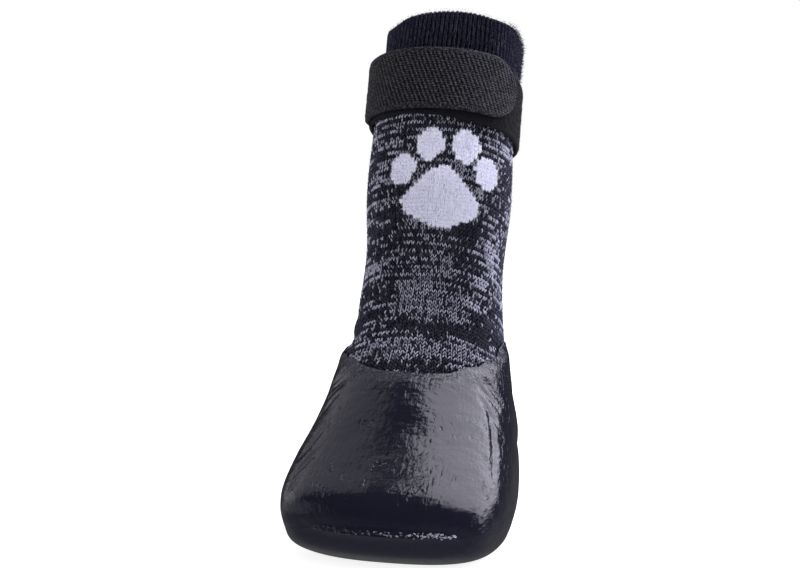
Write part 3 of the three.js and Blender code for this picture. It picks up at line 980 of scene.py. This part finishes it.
def build_shaft_stitches():
    """Stitches from the strap down to the dip line, the paw's own apart in white yarn."""
    runs = np.arange(*SHAFT_RUN, COURSE_PITCH)
    row_grid, angles, wale, course = course_grid(runs, WALES)
    run_grid = np.repeat(runs[:, None], WALES, axis=1)
    centre, along, up, outward = knit_frame(row_grid, angles)
    wale_number, course_number = np.meshgrid(np.arange(WALES), np.arange(len(runs)))
    around = np.where(angles > np.pi, angles - 2 * np.pi, angles)
    arc = np.where(angles > np.pi, wale_number + 0.5 - WALES, wale_number + 0.5) * wale
    shown = (above_dip(centre) > -UNDER_RUBBER) & (strap_height(centre, angles) < UNDER_TAPE)
    paw = in_paw(arc, run_grid) & (np.abs(around) < np.pi / 2) & shown
    shades = melange(wale_number, course_number, np.degrees(around), run_grid)
    centre = centre - outward * STITCH_SINK
    wander_place = (wale_number / WALES * WANDER_CELLS, course_number / WANDER_COURSES, WANDER_CELLS)
    for seed, way in ((31, along), (32, up)):
        wander = value_noise(*wander_place, seed) - 0.5
        centre = centre + way * (2 * WALE_WANDER * wander)[..., None]
    front, low = np.cos(angles) > 0, run_grid >= ANKLE_RUN
    plain = shown & ~paw
    parts = (
        ("paw_stitches", paw),
        ("shaft_stitches_front", plain & front & ~low),
        ("shaft_stitches_rear", plain & ~front & ~low),
        ("ankle_stitches_front", plain & front & low),
        ("ankle_stitches_rear", plain & ~front & low),
    )
    for name, chosen in parts:
        arrays = [a[chosen] for a in (centre, along, up, outward, wale, course)]
        if chosen is paw:
            yarn = PAW_YARN
            points, faces = stitch_mesh(*arrays, leg=PAW_LEG, plump=PAW_PLUMP)
            below = run_grid[chosen] - PAW_MIDDLE[1]
            # Painted shade: the pad's stitches are painted darker than the toes', for light that falls off
            # down the paw.
            pad_painted_shade = PAW_PAD_PAINTED_SHADE * smoothstep(below, PAW_PAD_SHADE_FROM, PAW_PAD_SHADE_TO)
            white = random.uniform(*PAW_SHADES, (chosen.sum(), 2)) - pad_painted_shade[:, None]
            values = stitch_shades(white, PAW_SIDE_PAINTED_SHADE)
        else:
            yarn = YARN
            lift = 1.0 + LIGHT_STITCH_LIFT * shades[chosen].max(axis=1)
            points, faces = stitch_mesh(*arrays, lift=lift)
            values = stitch_shades(shades[chosen], PLAIN_SIDE_PAINTED_SHADE)
        piece = add_piece(name, points, faces, yarn, {"yarn_tone_and_painted_light": values})
    picks = random.choice(np.flatnonzero(paw), PAW_FUZZ_COUNT)
    spots = [a.reshape(-1, 3)[picks] for a in (centre, along, up, outward)]
    add_fuzz("paw_fuzz", spots, PAW_YARN, longest=1.9, stand=0.3, shade_span=(0.75, 1.0))


# Rubber dip

def dip_rows(angles):
    """The row where the dip line crosses at each angle."""
    rows = np.linspace(ROW["ankle"], ROW["heel"], DIP_SAMPLES)
    heights = above_dip(knit_point(rows[:, None], angles[None, :]))
    first = np.argmax(heights < 0, axis=0)
    column = np.arange(len(angles))
    high, low = heights[first - 1, column], heights[first, column]
    return rows[first - 1] + (rows[1] - rows[0]) * high / (high - low)


# Creases in the rubber, in the sock's own rows and degrees round it.
# Columns: row and angle at one end and at the other, width in mm, depth in mm (a ridge is below zero).
RUBBER_CREASES = (
    (6.0, 44.0, 6.5, 66.0, 1.5, 0.55),
    (6.3, 40.0, 7.0, 62.0, 1.4, 0.50),
    (6.9, 42.0, 7.9, 60.0, 1.3, 0.42),
    (7.4, 50.0, 8.8, 58.0, 1.3, 0.45),
    (8.2, 54.0, 9.6, 60.0, 1.2, 0.42),
    (5.9, -28.0, 6.5, -60.0, 1.4, 0.70),
    (6.2, -26.0, 6.9, -54.0, 1.3, 0.60),
    (6.6, -30.0, 7.4, -58.0, 1.3, 0.45),
    (7.3, -36.0, 8.5, -62.0, 1.3, 0.50),
    (8.4, -34.0, 9.6, -54.0, 1.4, 0.50),
    (9.2, -32.0, 10.3, -56.0, 1.4, 0.50),
    (9.9, -38.0, 10.9, -62.0, 1.4, 0.45),
    (5.4, 80.0, 6.0, 118.0, 2.2, 0.5),
    (5.9, 84.0, 6.4, 124.0, 2.2, -0.4),
    (6.5, 86.0, 6.7, 120.0, 2.4, 0.45),
    (5.4, -80.0, 6.0, -118.0, 2.2, 0.5),
    (5.9, -84.0, 6.4, -124.0, 2.2, -0.4),
    (6.5, -86.0, 6.7, -120.0, 2.4, 0.45),
    (5.0, 150.0, 5.1, 205.0, 2.4, 0.4),
    (5.5, 155.0, 5.5, 208.0, 2.6, 0.35),
)


def crease_depths(points):
    """How far the creases sink each point of the rubber, in mm."""
    sunk = np.zeros(len(points))
    for row_from, angle_from, row_to, angle_to, width, depth in RUBBER_CREASES:
        share = np.linspace(0, 1, CREASE_SAMPLES)
        rows = row_from + (row_to - row_from) * share
        angles = np.radians(angle_from + (angle_to - angle_from) * share)
        line = knit_point(rows, angles)
        gaps = np.linalg.norm(points[:, None, :] - line[None, :, :], axis=-1)
        nearest = np.argmin(gaps, axis=1)
        fade = np.sin(np.pi * share[nearest]) ** CREASE_FADE
        sunk += depth * fade * np.exp(-((gaps.min(axis=1) / width) ** 2))
    return sunk


# How far the dip line rises above its plane: degrees round the sock and mm.
DIP_RAISED = np.array([
    (-180.0, 0.0), (-120.0, 0.3), (-80.0, 2.0), (-40.0, 2.4), (-15.0, 3.0), (2.0, 3.0),
    (9.0, 2.2), (14.0, 1.0), (30.0, 0.6), (36.0, 1.6), (48.0, 1.8), (65.0, 1.8),
    (82.0, 3.0), (100.0, 2.0), (130.0, 0.3), (180.0, 0.0),
])
DIP_ROW_PITCH = 18.6


def dip_edge(angles, degrees):
    """The rows of the film's upper edge, raised where listed and wandering a little."""
    ripples = DIP_RIPPLE_SHARE * noise_round(angles, DIP_RIPPLES, 12)
    wander = noise_round(angles, DIP_WAVES, 11) + ripples - (1 + DIP_RIPPLE_SHARE) / 2
    raised = np.interp(degrees, DIP_RAISED[:, 0], DIP_RAISED[:, 1])
    return dip_rows(angles) + DIP_WANDER * wander - raised / DIP_ROW_PITCH


def build_rubber_dip():
    """The rubber skin: thick underfoot, thin at the dip line, creased, and ridged over the toe seam."""
    columns, outer_count = RUBBER_COLUMNS, RUBBER_ROWS
    angles = np.arange(columns) * 2 * np.pi / columns
    degrees = np.degrees(np.where(angles > np.pi, angles - 2 * np.pi, angles))
    top = dip_edge(angles, degrees)

    def rows_from(top_rows, count, crowd):
        share = np.linspace(0, 1, count)[:, None]
        share = share + crowd * np.sin(2 * np.pi * share) / (2 * np.pi)
        return top_rows[None, :] + (LAST_ROW - top_rows[None, :]) * share

    grid = rows_from(top, outer_count, RUBBER_CROWD)
    points, normals, quads = shell_grid(grid, angles)
    row = grid.ravel()
    nose = np.tile(normals[-columns:], (outer_count, 1))
    normals = unit(normals + (nose - normals) * smoothstep(row, LAST_ROW - SEAM_NOSE, LAST_ROW)[:, None])
    underfoot = smoothstep(-normals[:, 2], RUBBER_TURN, 1.0)
    underfoot = underfoot * smoothstep(-points[:, 2], -UNDERFOOT_END, -UNDERFOOT_FULL)
    thick = RUBBER_SIDE + (RUBBER_UNDERFOOT - RUBBER_SIDE) * underfoot
    from_edge = np.linalg.norm(points - np.tile(points[:columns], (outer_count, 1)), axis=1)
    film = FILM_EDGE + (1 - FILM_EDGE) * smoothstep(from_edge, 0.0, FILM_TAPER)
    seam_half, seam_side = SECTION_TABLE[LAST_ROW, 4:6]
    along_seam = points[:, 0] / SEAM_KNOT_PITCH + NOISE_SHIFT
    knots = value_noise(along_seam, np.zeros(len(points)), SEAM_KNOT_CELLS, 14)
    knots = SEAM_KNOT_LEAST + SEAM_KNOT_ADDED * knots
    seam_ends = smoothstep(seam_half - np.abs(points[:, 0] - seam_side), 0.0, SEAM_FADE)
    seam_ends = seam_ends * np.tile(np.cos(angles) > 0, outer_count)
    crest = SEAM_RIDGE * knots * np.exp(-(((row - SEAM_RIDGE_ROW) / SEAM_RIDGE_REACH) ** 2))
    trough = SEAM_GROOVE * np.exp(-(((row - SEAM_GROOVE_ROW) / SEAM_GROOVE_REACH) ** 2))
    ridge = seam_ends * (crest - trough)
    wale = np.tile(np.arange(columns) / columns, outer_count)
    run = run_below_rim(row)
    lumps = value_noise(wale * LUMP_CELLS, run / LUMP_PITCH, LUMP_CELLS, 13) - 0.5
    standing = smoothstep(points[:, 2], STANDING_FROM, STANDING_TO)
    relief = standing * (LUMP_HEIGHT * lumps - crease_depths(points))
    outer = points + normals * (RUBBER_CLEARANCE + thick * film + ridge + relief)[:, None]
    outer[:, 2] = np.maximum(outer[:, 2], 0.0)

    inner_grid = rows_from(top, LINING_ROWS, 0.0)
    inner_points, inner_normals, inner_quads = shell_grid(inner_grid, angles)
    inner = inner_points + inner_normals * LINING_CLEARANCE
    count = len(outer)
    column = np.arange(columns)
    beside = np.roll(column, -1)
    edge = np.stack([column, beside, count + beside, count + column], -1)

    chart_share = np.linspace(0, WALES, columns + 1)
    runs = run_below_rim(grid) / COURSE_PITCH
    runs = np.concatenate([runs, runs[:, :1]], axis=1)
    chart = np.stack([np.broadcast_to(chart_share[None, :], runs.shape), runs], -1)
    outer_map = grid_corner_map(outer_count, columns, chart)
    spare = np.zeros(((len(inner_quads) + columns) * 4, 2))
    film_thin = 1 - smoothstep(from_edge, 0.0, THIN_FILM)
    piece = add_piece(
        "rubber_dip",
        np.concatenate([outer, inner]),
        [np.concatenate([quads, inner_quads[:, ::-1] + count, edge])],
        RUBBER,
        {"film_thin": np.concatenate([film_thin, np.zeros(len(inner))])},
        np.concatenate([outer_map, spare]),
    )
    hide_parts("rubber_sole")
    on_seam = (np.abs(row - SEAM_RIDGE_ROW) < SEAM_RIDGE_REACH / 2) & (seam_ends > 0.3)
    from_spot = np.abs(np.tile(degrees, outer_count) - SCUFF_DEGREES)
    on_instep = (np.abs(row - SCUFF_ROW) < SCUFF_ROW_REACH) & (from_spot < SCUFF_DEGREE_REACH)
    build_wear_and_highlight_specks(outer, normals, on_seam, on_instep)


def build_wear_and_highlight_specks(points, normals, on_seam, on_instep):
    """Whitish specks along the toe seam, more of them and lighter towards +X, and a few worn ones on the
    instep. Along the seam they are partly wear and partly a painted highlight that stands for the seam's
    ridge catching light.
    """
    wear_and_highlight = smoothstep(points[:, 0], WEAR_AND_HIGHLIGHT_FROM, WEAR_AND_HIGHLIGHT_TO)
    # Painted highlight: specks all along the seam, faint ones towards -X, stand for the ridge catching
    # light.
    share = np.where(on_seam, wear_and_highlight + 0.35, 0.0)
    picks = np.concatenate([
        random.choice(len(points), SEAM_SPECKS, p=share / share.sum()),
        random.choice(np.flatnonzero(on_instep), INSTEP_SCUFFS),
    ])
    outward = normals[picks]
    lean = unit(random.normal(size=(len(picks), 3)) * np.array([1.0, 0.2, 0.3]))
    lean = unit(lean - outward * (lean * outward).sum(axis=1, keepdims=True))
    lengths = random.uniform(*SPECK_LENGTHS, len(picks))[:, None]
    foot = points[picks] + SPECK_SCATTER * random.normal(size=(len(picks), 3))
    widths = random.uniform(*SPECK_WIDTHS, len(picks))
    points, faces = ridge_mesh(foot, foot + lean * lengths, outward, widths, lift=SPECK_LIFT)
    bright = 0.12 + 0.88 * np.where(on_seam, wear_and_highlight, 0.7)[picks]
    shades = np.repeat(bright * random.uniform(*SPECK_SHADES, len(picks)), LEG_POINTS)
    piece = add_piece("rubber_wear_and_highlight_specks", points, faces, WEAR_AND_HIGHLIGHT_SPECKS, {"yarn_tone_and_painted_light": shades})


# Strap tapes

def tape_point(degrees, up, out):
    """Points on the strap: degrees round the leg, mm up from its lower edge and mm out from the knit."""
    angle = np.radians(degrees)
    tangent = knit_point(ROW["strap"], angle + SMALL_STEP) - knit_point(ROW["strap"], angle - SMALL_STEP)
    outward = unit(np.cross(tangent, STRAP_AXIS))
    return knit_point(ROW["strap"], angle) + STRAP_AXIS * up[..., None] + outward * out[..., None]


def hook_lift(degrees):
    """The hook tape rides over the loop tape at the front and where both are sewn at the back."""
    front = smoothstep(degrees, LOOP_FROM - TAPE_RAMP, LOOP_FROM - 1)
    sewn_end = LOOP_TO - 360
    back = 1 - smoothstep(degrees, sewn_end + 1, sewn_end + TAPE_RAMP)
    return TAPE_CLEARANCE + np.maximum(front, back) * TAPE_LAYER


def loop_lift(degrees):
    return np.full_like(degrees, TAPE_CLEARANCE)


def loop_lower(degrees):
    """The loop tape lies lower towards its sewn end."""
    return LOOP_LOWER * (0.35 + 0.65 * smoothstep(degrees, -30.0, 50.0))


def hook_lower(degrees):
    return np.zeros_like(degrees)


def tape_stations(start, end, pitch):
    """Degrees at even steps along a tape and the mm run from its start."""
    fine = np.linspace(start, end, TAPE_SAMPLES)
    run = run_along(tape_point(fine, np.zeros_like(fine), np.zeros_like(fine)))
    steps = np.linspace(0, run[-1], int(run[-1] / pitch) + 1)
    return np.interp(steps, run, fine), steps


def tape_section(thick, face_columns):
    """Closed section of a tape: across from -1 to 1 and out in mm, outer face first."""
    edge = thick / 2
    face = np.linspace(-1, 1, face_columns)
    back = face[::TAPE_BACK_STEP][::-1]
    turns = np.linspace(0, np.pi, TAPE_EDGE_STEPS)[1:-1]
    across = np.concatenate([face, np.ones(len(turns)), back, -np.ones(len(turns))])
    bulge = np.concatenate([np.zeros(len(face)), np.sin(turns), np.zeros(len(back)), np.sin(turns)])
    out = np.concatenate([
        np.full(len(face), thick),
        edge + edge * np.cos(turns),
        np.zeros(len(back)),
        edge - edge * np.cos(turns),
    ])
    return across, bulge * edge, out, np.arange(len(across)) < face_columns


def build_tape(name, node, material, span, thick, lift, lower, relief, round_end):
    """One tape of the strap. lift, lower and relief give its places along the leg and its outer face."""
    degrees, run = tape_stations(*span, TAPE_PITCH)
    across, bulge, out, outer_face = tape_section(thick, TAPE_COLUMNS)
    half = np.full(len(run), TAPE_WIDTH / 2)
    if round_end:
        left = np.clip(run[-1] - run, 0.0, HOOK_END_RADIUS)
        half = np.sqrt(np.maximum(HOOK_END_RADIUS**2 - (HOOK_END_RADIUS - left) ** 2, 0.05))
    edge = thick / 2
    reach = np.maximum(half - edge, 0.0)[:, None] * across[None, :]
    reach = reach + np.minimum(half, edge)[:, None] / edge * (np.sign(across) * bulge)[None, :]
    along = np.repeat(run[:, None], len(across), axis=1)
    height = np.where(outer_face[None, :], relief(along, reach, half[:, None]), 0.0)
    up = TAPE_WIDTH / 2 - lower(degrees)[:, None] + reach
    stand = lift(degrees)[:, None] + out[None, :] + height
    points = tape_point(np.repeat(degrees[:, None], len(across), axis=1), up, stand)
    rows, columns = points.shape[:2]
    quads = grid_faces(rows, columns, flip=True)
    first, last = np.arange(columns), (rows - 1) * columns + np.arange(columns)
    chart = np.stack([along, reach], -1)
    chart = np.concatenate([chart, chart[:, :1]], axis=1)
    corner_map = grid_corner_map(rows, columns, chart, flip=True)
    cap_map = np.zeros((2 * columns, 2))
    piece = add_piece(
        name,
        points.reshape(-1, 3),
        [quads, first[None, :], last[None, ::-1]],
        material,
        map_values=np.concatenate([corner_map, cap_map]),
    )
    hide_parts(node)


def hook_weave(along, across, half):
    """Uneven leaning ribs over the tape's back, with plain selvedges."""
    ribs = np.cos(2 * np.pi * (along + HOOK_RIB_LEAN * across) / HOOK_RIB_PITCH)
    inside = smoothstep(half - np.abs(across), SELVEDGE * 0.7, SELVEDGE)
    noise_place = (along / HOOK_RIB_PITCH, across / HOOK_RIB_PITCH + NOISE_SHIFT)
    worn = 0.3 + 1.4 * value_noise(*noise_place, TAPE_NOISE_CELLS, 22)
    return inside * HOOK_RIB_HEIGHT * worn * ribs


def loop_pile(along, across, half):
    """Uneven low pile."""
    tufts = value_noise(along / PILE_PITCH, across / PILE_PITCH + NOISE_SHIFT, TAPE_NOISE_CELLS, 21) - 0.5
    return PILE_HEIGHT * tufts * smoothstep(half - np.abs(across), 0.2, 1.2)


# Loose fibres on the knit, pile hairs on the loop tape, and the sewing

def fibre_mesh(roots, directions, lengths, radius):
    """Thin three-sided fibres that taper to a tip, with a bend in the middle."""
    bend = unit(random.normal(size=directions.shape)) * FIBRE_BEND
    middle = roots + directions * lengths[:, None] * FIBRE_MIDDLE
    tip = roots + unit(directions + bend) * lengths[:, None]
    side = unit(np.cross(directions, random.normal(size=directions.shape)))
    other = np.cross(directions, side)
    points = []
    for base, size in ((roots, radius), (middle, radius * FIBRE_TAPER)):
        for corner in range(3):
            turn = 2 * np.pi * corner / 3
            points.append(base + (side * np.cos(turn) + other * np.sin(turn)) * size)
    points.append(tip)
    points = np.stack(points, 1)
    quads = np.array([(0, 1, 4, 3), (1, 2, 5, 4), (2, 0, 3, 5)])
    triangles = np.array([(3, 4, 6), (4, 5, 6), (5, 3, 6)])
    start = np.arange(len(roots))[:, None, None] * FIBRE_POINTS
    faces = [(quads[None] + start).reshape(-1, 4), (triangles[None] + start).reshape(-1, 3)]
    return points.reshape(-1, 3), faces


def add_fuzz(name, spots, material, longest, stand, shade_span, radius=FUZZ_RADIUS):
    """Loose fibres at spots: points of the knit with the course's, the wale's and the outward direction."""
    centre, along, up, outward = spots
    spread = random.normal(size=(len(centre), 2)) * FUZZ_SPREAD
    directions = unit(outward * stand + along * spread[:, :1] + up * spread[:, 1:])
    lengths = random.uniform(longest / 3, longest, len(centre))
    points, faces = fibre_mesh(centre + outward * FUZZ_ROOT, directions, lengths, radius)
    shades = np.repeat(random.uniform(*shade_span, len(centre)), FIBRE_POINTS)
    piece = add_piece(name, points, faces, material, {"yarn_tone_and_painted_light": shades})


def build_fuzz():
    """Fuzz on the cuff and on the shaft."""
    rows = row_below_rim(np.concatenate([
        random.uniform(*CUFF_FUZZ_RUN, FUZZ_COUNT // 2).clip(0.0),
        random.uniform(*SHAFT_FUZZ_RUN, FUZZ_COUNT // 2),
    ]))
    angles = random.uniform(0, 2 * np.pi, FUZZ_COUNT)
    spots = knit_frame(rows, angles)
    height = strap_height(spots[0], angles)
    on_cuff = height > TAPE_WIDTH + CUFF_FUZZ_ABOVE_TAPE
    on_shaft = (height < -SHAFT_FUZZ_BELOW_TAPE) & (above_dip(spots[0]) > SHAFT_FUZZ_ABOVE_DIP)
    on_side = smoothstep(np.sin(angles[on_cuff]), CUFF_SIDE_FROM, CUFF_SIDE_TO)
    add_fuzz(
        "cuff_fuzz",
        [a[on_cuff] for a in spots],
        CUFF_YARN,
        longest=CUFF_FUZZ_LENGTH + CUFF_SIDE_LENGTH * on_side,
        stand=FUZZ_STAND,
        shade_span=(0.0, 0.05),
        radius=FUZZ_RADIUS * (1 + CUFF_SIDE_THICKER * on_side[:, None]),
    )
    centre, along, up, outward = (a[on_shaft] for a in spots)
    sunk_spots = (centre - outward * STITCH_SINK, along, up, outward)
    add_fuzz("shaft_fuzz", sunk_spots, YARN, longest=1.0, stand=FUZZ_STAND, shade_span=(0.0, 0.3))


def build_loop_hairs():
    """Pile hairs where the loop tape lies bare."""
    count = LOOP_HAIR_COUNT
    degrees = random.uniform(HOOK_TO - LOOP_HAIR_UNDER_HOOK, HOOK_FROM + 360.0, count)
    up = random.uniform(LOOP_HAIR_MARGIN, TAPE_WIDTH - LOOP_HAIR_MARGIN, count) - loop_lower(degrees)
    out = TAPE_CLEARANCE + LOOP_THICK - LOOP_HAIR_ROOT
    roots = tape_point(degrees, up, np.full(count, out))
    outward = unit(tape_point(degrees, up, np.full(count, out + 1.0)) - roots)
    directions = unit(outward + 0.7 * random.normal(size=outward.shape))
    lengths = random.uniform(0.35, 0.8, count)
    points, faces = fibre_mesh(roots, directions, lengths, LOOP_HAIR_RADIUS)
    shades = np.repeat(random.random(count), FIBRE_POINTS)
    piece = add_piece("loop_hairs", points, faces, LOOP_YARN, {"yarn_tone_and_painted_light": shades})


def build_sewing():
    """The sewn box with a cross in it that holds both tapes at the back."""
    low, high = SEWN_MARGIN, TAPE_WIDTH - SEWN_MARGIN
    corners = ((SEWN_FROM, low), (SEWN_TO, low), (SEWN_TO, high), (SEWN_FROM, high))
    lines = list(zip(corners, corners[1:] + corners[:1]))
    lines += [(corners[0], corners[2]), (corners[1], corners[3])]
    feet, heads = [], []
    for line in lines:
        ends = np.array(line)
        first, last = tape_point(ends[:, 0], ends[:, 1], np.zeros(2))
        count = int(np.linalg.norm(last - first) / SEWN_STITCH)
        shares = np.arange(count) / count
        feet.append(ends[0] + (ends[1] - ends[0]) * (shares + SEWN_GAP / count)[:, None])
        heads.append(ends[0] + (ends[1] - ends[0]) * (shares + (1 - SEWN_GAP) / count)[:, None])
    feet, heads = np.concatenate(feet), np.concatenate(heads)

    def on_tape(spots, out):
        return tape_point(spots[:, 0], spots[:, 1], hook_lift(spots[:, 0]) + HOOK_THICK + out)

    foot, head = on_tape(feet, SEWN_RISE), on_tape(heads, SEWN_RISE)
    outward = unit(on_tape(feet, 1.0) - foot)
    points, faces = ridge_mesh(foot, head, outward, np.full(len(foot), SEWN_WIDTH))
    shades = np.full(len(points), SEWN_SHADE)
    piece = add_piece("tape_sewing", points, faces, YARN, {"yarn_tone_and_painted_light": shades})


build_knit_ground()
build_cuff_rib()
build_shaft_stitches()
build_rubber_dip()
build_tape(
    "loop_tape", "loop_strap", LOOP_TAPE, (LOOP_FROM, LOOP_TO), LOOP_THICK,
    lift=loop_lift, lower=loop_lower, relief=loop_pile, round_end=False,
)
build_tape(
    "hook_tape", "hook_strap", HOOK_TAPE, (HOOK_FROM, HOOK_TO), HOOK_THICK,
    lift=hook_lift, lower=hook_lower, relief=hook_weave, round_end=True,
)
build_loop_hairs()
build_sewing()
build_fuzz()


# Stage: a pale floor, a soft light on each side, a low card and two fills that gloss leaves out.
# Left and right are the camera's.

WHITE = (1.0, 1.0, 1.0, 1.0)
FLOOR_GREY = (0.6, 0.6, 0.6, 1.0)
FLOOR_REACH = 6.0
LIGHT_TARGET = Vector((0.0, -0.02, 0.04))
# Columns: azimuth, elevation, distance, width, height, radiance, colour, roll, whether gloss shows it.
SOFTBOXES = {
    "softbox_right": (118.0, 48.0, 1.0, 1.0, 1.65, 3.6, (0.88, 0.87, 1.0), 26.0, True),
    "softbox_left": (-112.0, 39.0, 1.0, 0.9, 1.5, 0.5, (0.94, 0.93, 1.0), 0.0, True),
    "card_left": (-92.0, 2.0, 1.0, 1.5, 0.6, 0.4, (0.94, 0.93, 1.0), 0.0, True),
    "fill_front": (50.0, 22.0, 1.4, 0.9, 0.7, 2.6, (0.98, 0.97, 1.0), 0.0, False),
    "fill_left": (-55.0, 20.0, 1.4, 0.9, 0.7, 1.2, (0.96, 0.95, 1.0), 0.0, False),
}


def build_floor():
    """A pale floor that glows a little less under the sock than far from it."""
    material, tree, shader = new_material(
        "pale_floor",
        {"Base Color": FLOOR_GREY, "Roughness": 0.9, "Specular IOR Level": 0.0, "Emission Color": WHITE},
    )
    place = add_node(tree, "ShaderNodeTexCoord").outputs["Object"]
    away = add_node(tree, "ShaderNodeVectorMath", {0: place}, operation="LENGTH").outputs["Value"]
    glow = map_range(tree, away, 0.1, 0.9, 0.85, 1.0)
    tree.links.new(glow, shader.inputs["Emission Strength"])
    mesh = bpy.data.meshes.new("floor")
    sides = ((-1, -1), (1, -1), (1, 1), (-1, 1))
    mesh.from_pydata([(x * FLOOR_REACH, y * FLOOR_REACH, 0.0) for x, y in sides], [], [(0, 1, 2, 3)])
    mesh.materials.append(material)
    floor = bpy.data.objects.new("floor", mesh)
    bpy.context.scene.collection.objects.link(floor)
    floor.visible_glossy = False


def add_softbox(name, azimuth, elevation, distance, width, height, radiance, colour, roll, in_gloss):
    """A soft light aimed at the foot. Azimuth 0 is straight in front and 90 degrees is +X."""
    turn, rise = math.radians(azimuth), math.radians(elevation)
    towards = Vector((math.sin(turn) * math.cos(rise), -math.cos(turn) * math.cos(rise), math.sin(rise)))
    light = bpy.data.lights.new(name, "AREA")
    light.shape = "RECTANGLE"
    light.size, light.size_y = width, height
    light.energy = radiance * math.pi * width * height
    light.color = colour
    lamp = bpy.data.objects.new(name, light)
    lamp.location = LIGHT_TARGET + towards * distance
    facing = (-towards).to_track_quat("-Z", "Y") @ Quaternion((0.0, 0.0, 1.0), math.radians(roll))
    lamp.rotation_euler = facing.to_euler()
    bpy.context.scene.collection.objects.link(lamp)
    lamp.visible_camera = False
    lamp.visible_glossy = in_gloss


def build_world():
    """White to the camera, dim to the cloth, and dark in the rubber's gloss but for floor and ceiling."""
    world = bpy.data.worlds.new("studio")
    world.use_nodes = True
    background = world.node_tree.nodes["Background"]
    background.inputs["Color"].default_value = WHITE
    tree = world.node_tree
    rays = add_node(tree, "ShaderNodeLightPath").outputs
    heading = add_node(tree, "ShaderNodeTexCoord").outputs["Generated"]
    height = add_node(tree, "ShaderNodeSeparateXYZ", {"Vector": heading}).outputs["Z"]
    overhead = map_range(tree, height, 0.3, 0.9, 0.0, 0.05)
    underneath = map_range(tree, height, -0.5, 0.0, 0.15, 0.04)
    mirrored = math_node(tree, "ADD", underneath, overhead)
    strength = math_node(tree, "MULTIPLY_ADD", rays["Is Diffuse Ray"], 0.3, rays["Is Camera Ray"])
    strength = math_node(tree, "MULTIPLY_ADD", rays["Is Glossy Ray"], mirrored, strength)
    tree.links.new(strength, background.inputs["Strength"])
    bpy.context.scene.world = world
    bpy.context.scene.view_settings.view_transform = "Standard"


# Camera, from the photograph's angle
CAMERA_YAW = 11.5
CAMERA_ELEVATION = 2.8
CAMERA_ROLL = 1.9
CAMERA_DISTANCE = 0.5334
CAMERA_LENS = 78.2
AIM = Vector((0.0, 0.0009, 0.0779))
AIM_LEFT = 0.0067
SENSOR_WIDTH = 36.0
NEAREST = 0.01


def build_camera():
    """The camera in front of the sock, a little to its +X side, looking slightly down and rolled."""
    yaw, elevation = math.radians(CAMERA_YAW), math.radians(CAMERA_ELEVATION)
    level = math.cos(elevation)
    forward = Vector((-math.sin(yaw) * level, math.cos(yaw) * level, -math.sin(elevation)))
    right = Vector((math.cos(yaw), math.sin(yaw), 0.0))
    lens = bpy.data.cameras.new("camera")
    lens.lens = CAMERA_LENS
    lens.sensor_width = SENSOR_WIDTH
    lens.clip_start = NEAREST
    camera = bpy.data.objects.new("camera", lens)
    facing = forward.to_track_quat("-Z", "Y").to_matrix().to_4x4()
    roll = Matrix.Rotation(math.radians(CAMERA_ROLL), 4, "Z")
    place = AIM - right * AIM_LEFT - forward * CAMERA_DISTANCE
    camera.matrix_world = Matrix.Translation(place) @ facing @ roll
    bpy.context.scene.collection.objects.link(camera)
    bpy.context.scene.camera = camera


build_floor()
for light_name, light_settings in SOFTBOXES.items():
    add_softbox(light_name, *light_settings)
build_world()
build_camera()
